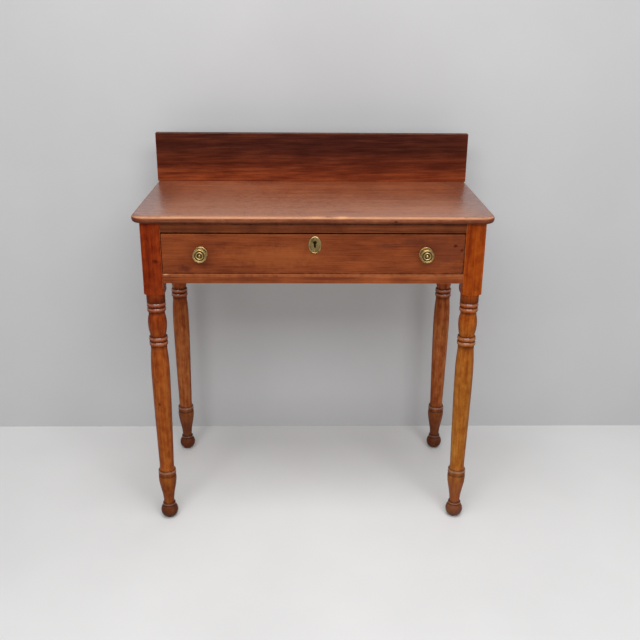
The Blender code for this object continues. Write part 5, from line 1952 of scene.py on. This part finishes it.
@dataclass
class Studio:
    """A pale floor and wall, soft lamps and the camera."""

    reach: float = 6
    wall_y: float = 0.318
    aim: Place = (0.0, 0.0, 0.55)
    ambient: float = 0.22
    beyond: Colour = shade(200, 200, 201)
    camera_place: Place = (-0.02211, -2.00703, 1.23853)
    yaw: float = 1.19509
    pitch: float = 20.78482
    roll: float = 0.451
    lens: float = 46.789
    sensor: float = 36.0

    def build(self) -> None:
        """Build the stage, the light and the camera."""
        self.floor()
        self.wall()
        self.lamp("overhead_softbox", (0.0, -1.0, 3.2), (2.0, 1.4), 42)
        self.lamp("front_softbox", (0.1, -2.5, 2.35), (3.4, 0.9), 57)
        self.lamp("low_softbox", (0.1, -2.8, 1.0), (3.2, 0.5), 9)
        self.lamp("rear_softbox", (0.5, 2.6, 2.2), (2.4, 1.2), 8)
        self.world()
        self.camera()
        LOG.info("studio: floor, wall, four softboxes and camera")

    def wide_sheet(self) -> BMesh:
        """A wide flat sheet on the ground.

        Returns:
            The sheet's shape.
        """
        bm = bmesh.new()
        bmesh.ops.create_grid(bm, x_segments=1, y_segments=1, size=self.reach)
        return bm

    def floor(self) -> None:
        """Lay a wide pale floor under the feet."""
        floor = piece_of("floor", self.wide_sheet())
        floor.data.materials.append(FLOOR_PAINT.material())

    def wall(self) -> None:
        """Stand a pale wall behind, which shows from the front alone and shades nothing."""
        bm = self.wide_sheet()
        bmesh.ops.rotate(bm, verts=bm.verts, cent=STILL, matrix=Matrix.Rotation(pi / 2, 3, "X"))
        move(bm, (0, self.wall_y, self.reach))
        wall = piece_of("wall", bm)
        wall.data.materials.append(WALL_PAINT.material())
        wall.visible_shadow = False
        wall.visible_diffuse = False

    def lamp(self, name: str, place: Place, size: tuple[float, float], power: float) -> None:
        """Hang a softbox that looks at the middle of the washstand.

        Args:
            name: What the lamp is called.
            place: Where it hangs.
            size: Its width and height.
            power: How strong it is.
        """
        data = bpy.data.lights.new(name, "AREA")
        data.shape = "RECTANGLE"
        data.size, data.size_y = size
        data.energy = power
        lamp = bpy.data.objects.new(name, data)
        lamp.location = place
        look = Vector(self.aim) - Vector(place)
        lamp.rotation_euler = look.to_track_quat("-Z", "Y").to_euler()
        bpy.context.scene.collection.objects.link(lamp)

    def world(self) -> None:
        """Fill the room with soft light, and show a pale grey beyond the floor and in reflections."""
        world = bpy.data.worlds.new("room")
        sheet = Sheet(world)
        soft = sheet.tree.nodes["Background"]
        sheet.put(soft.inputs["Color"], WHITE)
        sheet.put(soft.inputs["Strength"], self.ambient)
        seen = sheet.node("ShaderNodeBackground", {"Color": self.beyond})
        rays = sheet.node("ShaderNodeLightPath", {})
        shown = rays.outputs["Is Camera Ray"]
        for name in ("Is Glossy Ray", "Is Transmission Ray"):
            shown = sheet.sum(Work.GREATEST, shown, rays.outputs[name])
        sheet.choose(shown, soft.outputs[0], seen.outputs[0], "World Output")
        bpy.context.scene.world = world

    def camera(self) -> None:
        """Set up the camera where the photograph was taken from."""
        data = bpy.data.cameras.new("camera")
        data.sensor_width = self.sensor
        data.lens = self.lens
        camera = bpy.data.objects.new("camera", data)
        turn = Matrix.Rotation(radians(-self.yaw), 4, "Z")
        turn = turn @ Matrix.Rotation(radians(90 - self.pitch), 4, "X")
        turn = turn @ Matrix.Rotation(radians(self.roll), 4, "Z")
        camera.matrix_world = Matrix.Translation(self.camera_place) @ turn
        bpy.context.scene.collection.objects.link(camera)
        bpy.context.scene.camera = camera
        bpy.context.scene.view_settings.view_transform = "Standard"


def main() -> None:
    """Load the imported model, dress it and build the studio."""
    logging.basicConfig(level=logging.INFO, format="%(name)s: %(message)s")
    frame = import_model()
    nodes = frame["nodes"]
    Legs().build()
    Top().build()
    Rails(nodes).build()
    DrawerFront(nodes).build()
    Knobs().build()
    Escutcheon().build()
    Screws().build()
    CarriedPieces(nodes).build()
    Studio().build()


if __name__ == "__main__":
    main()
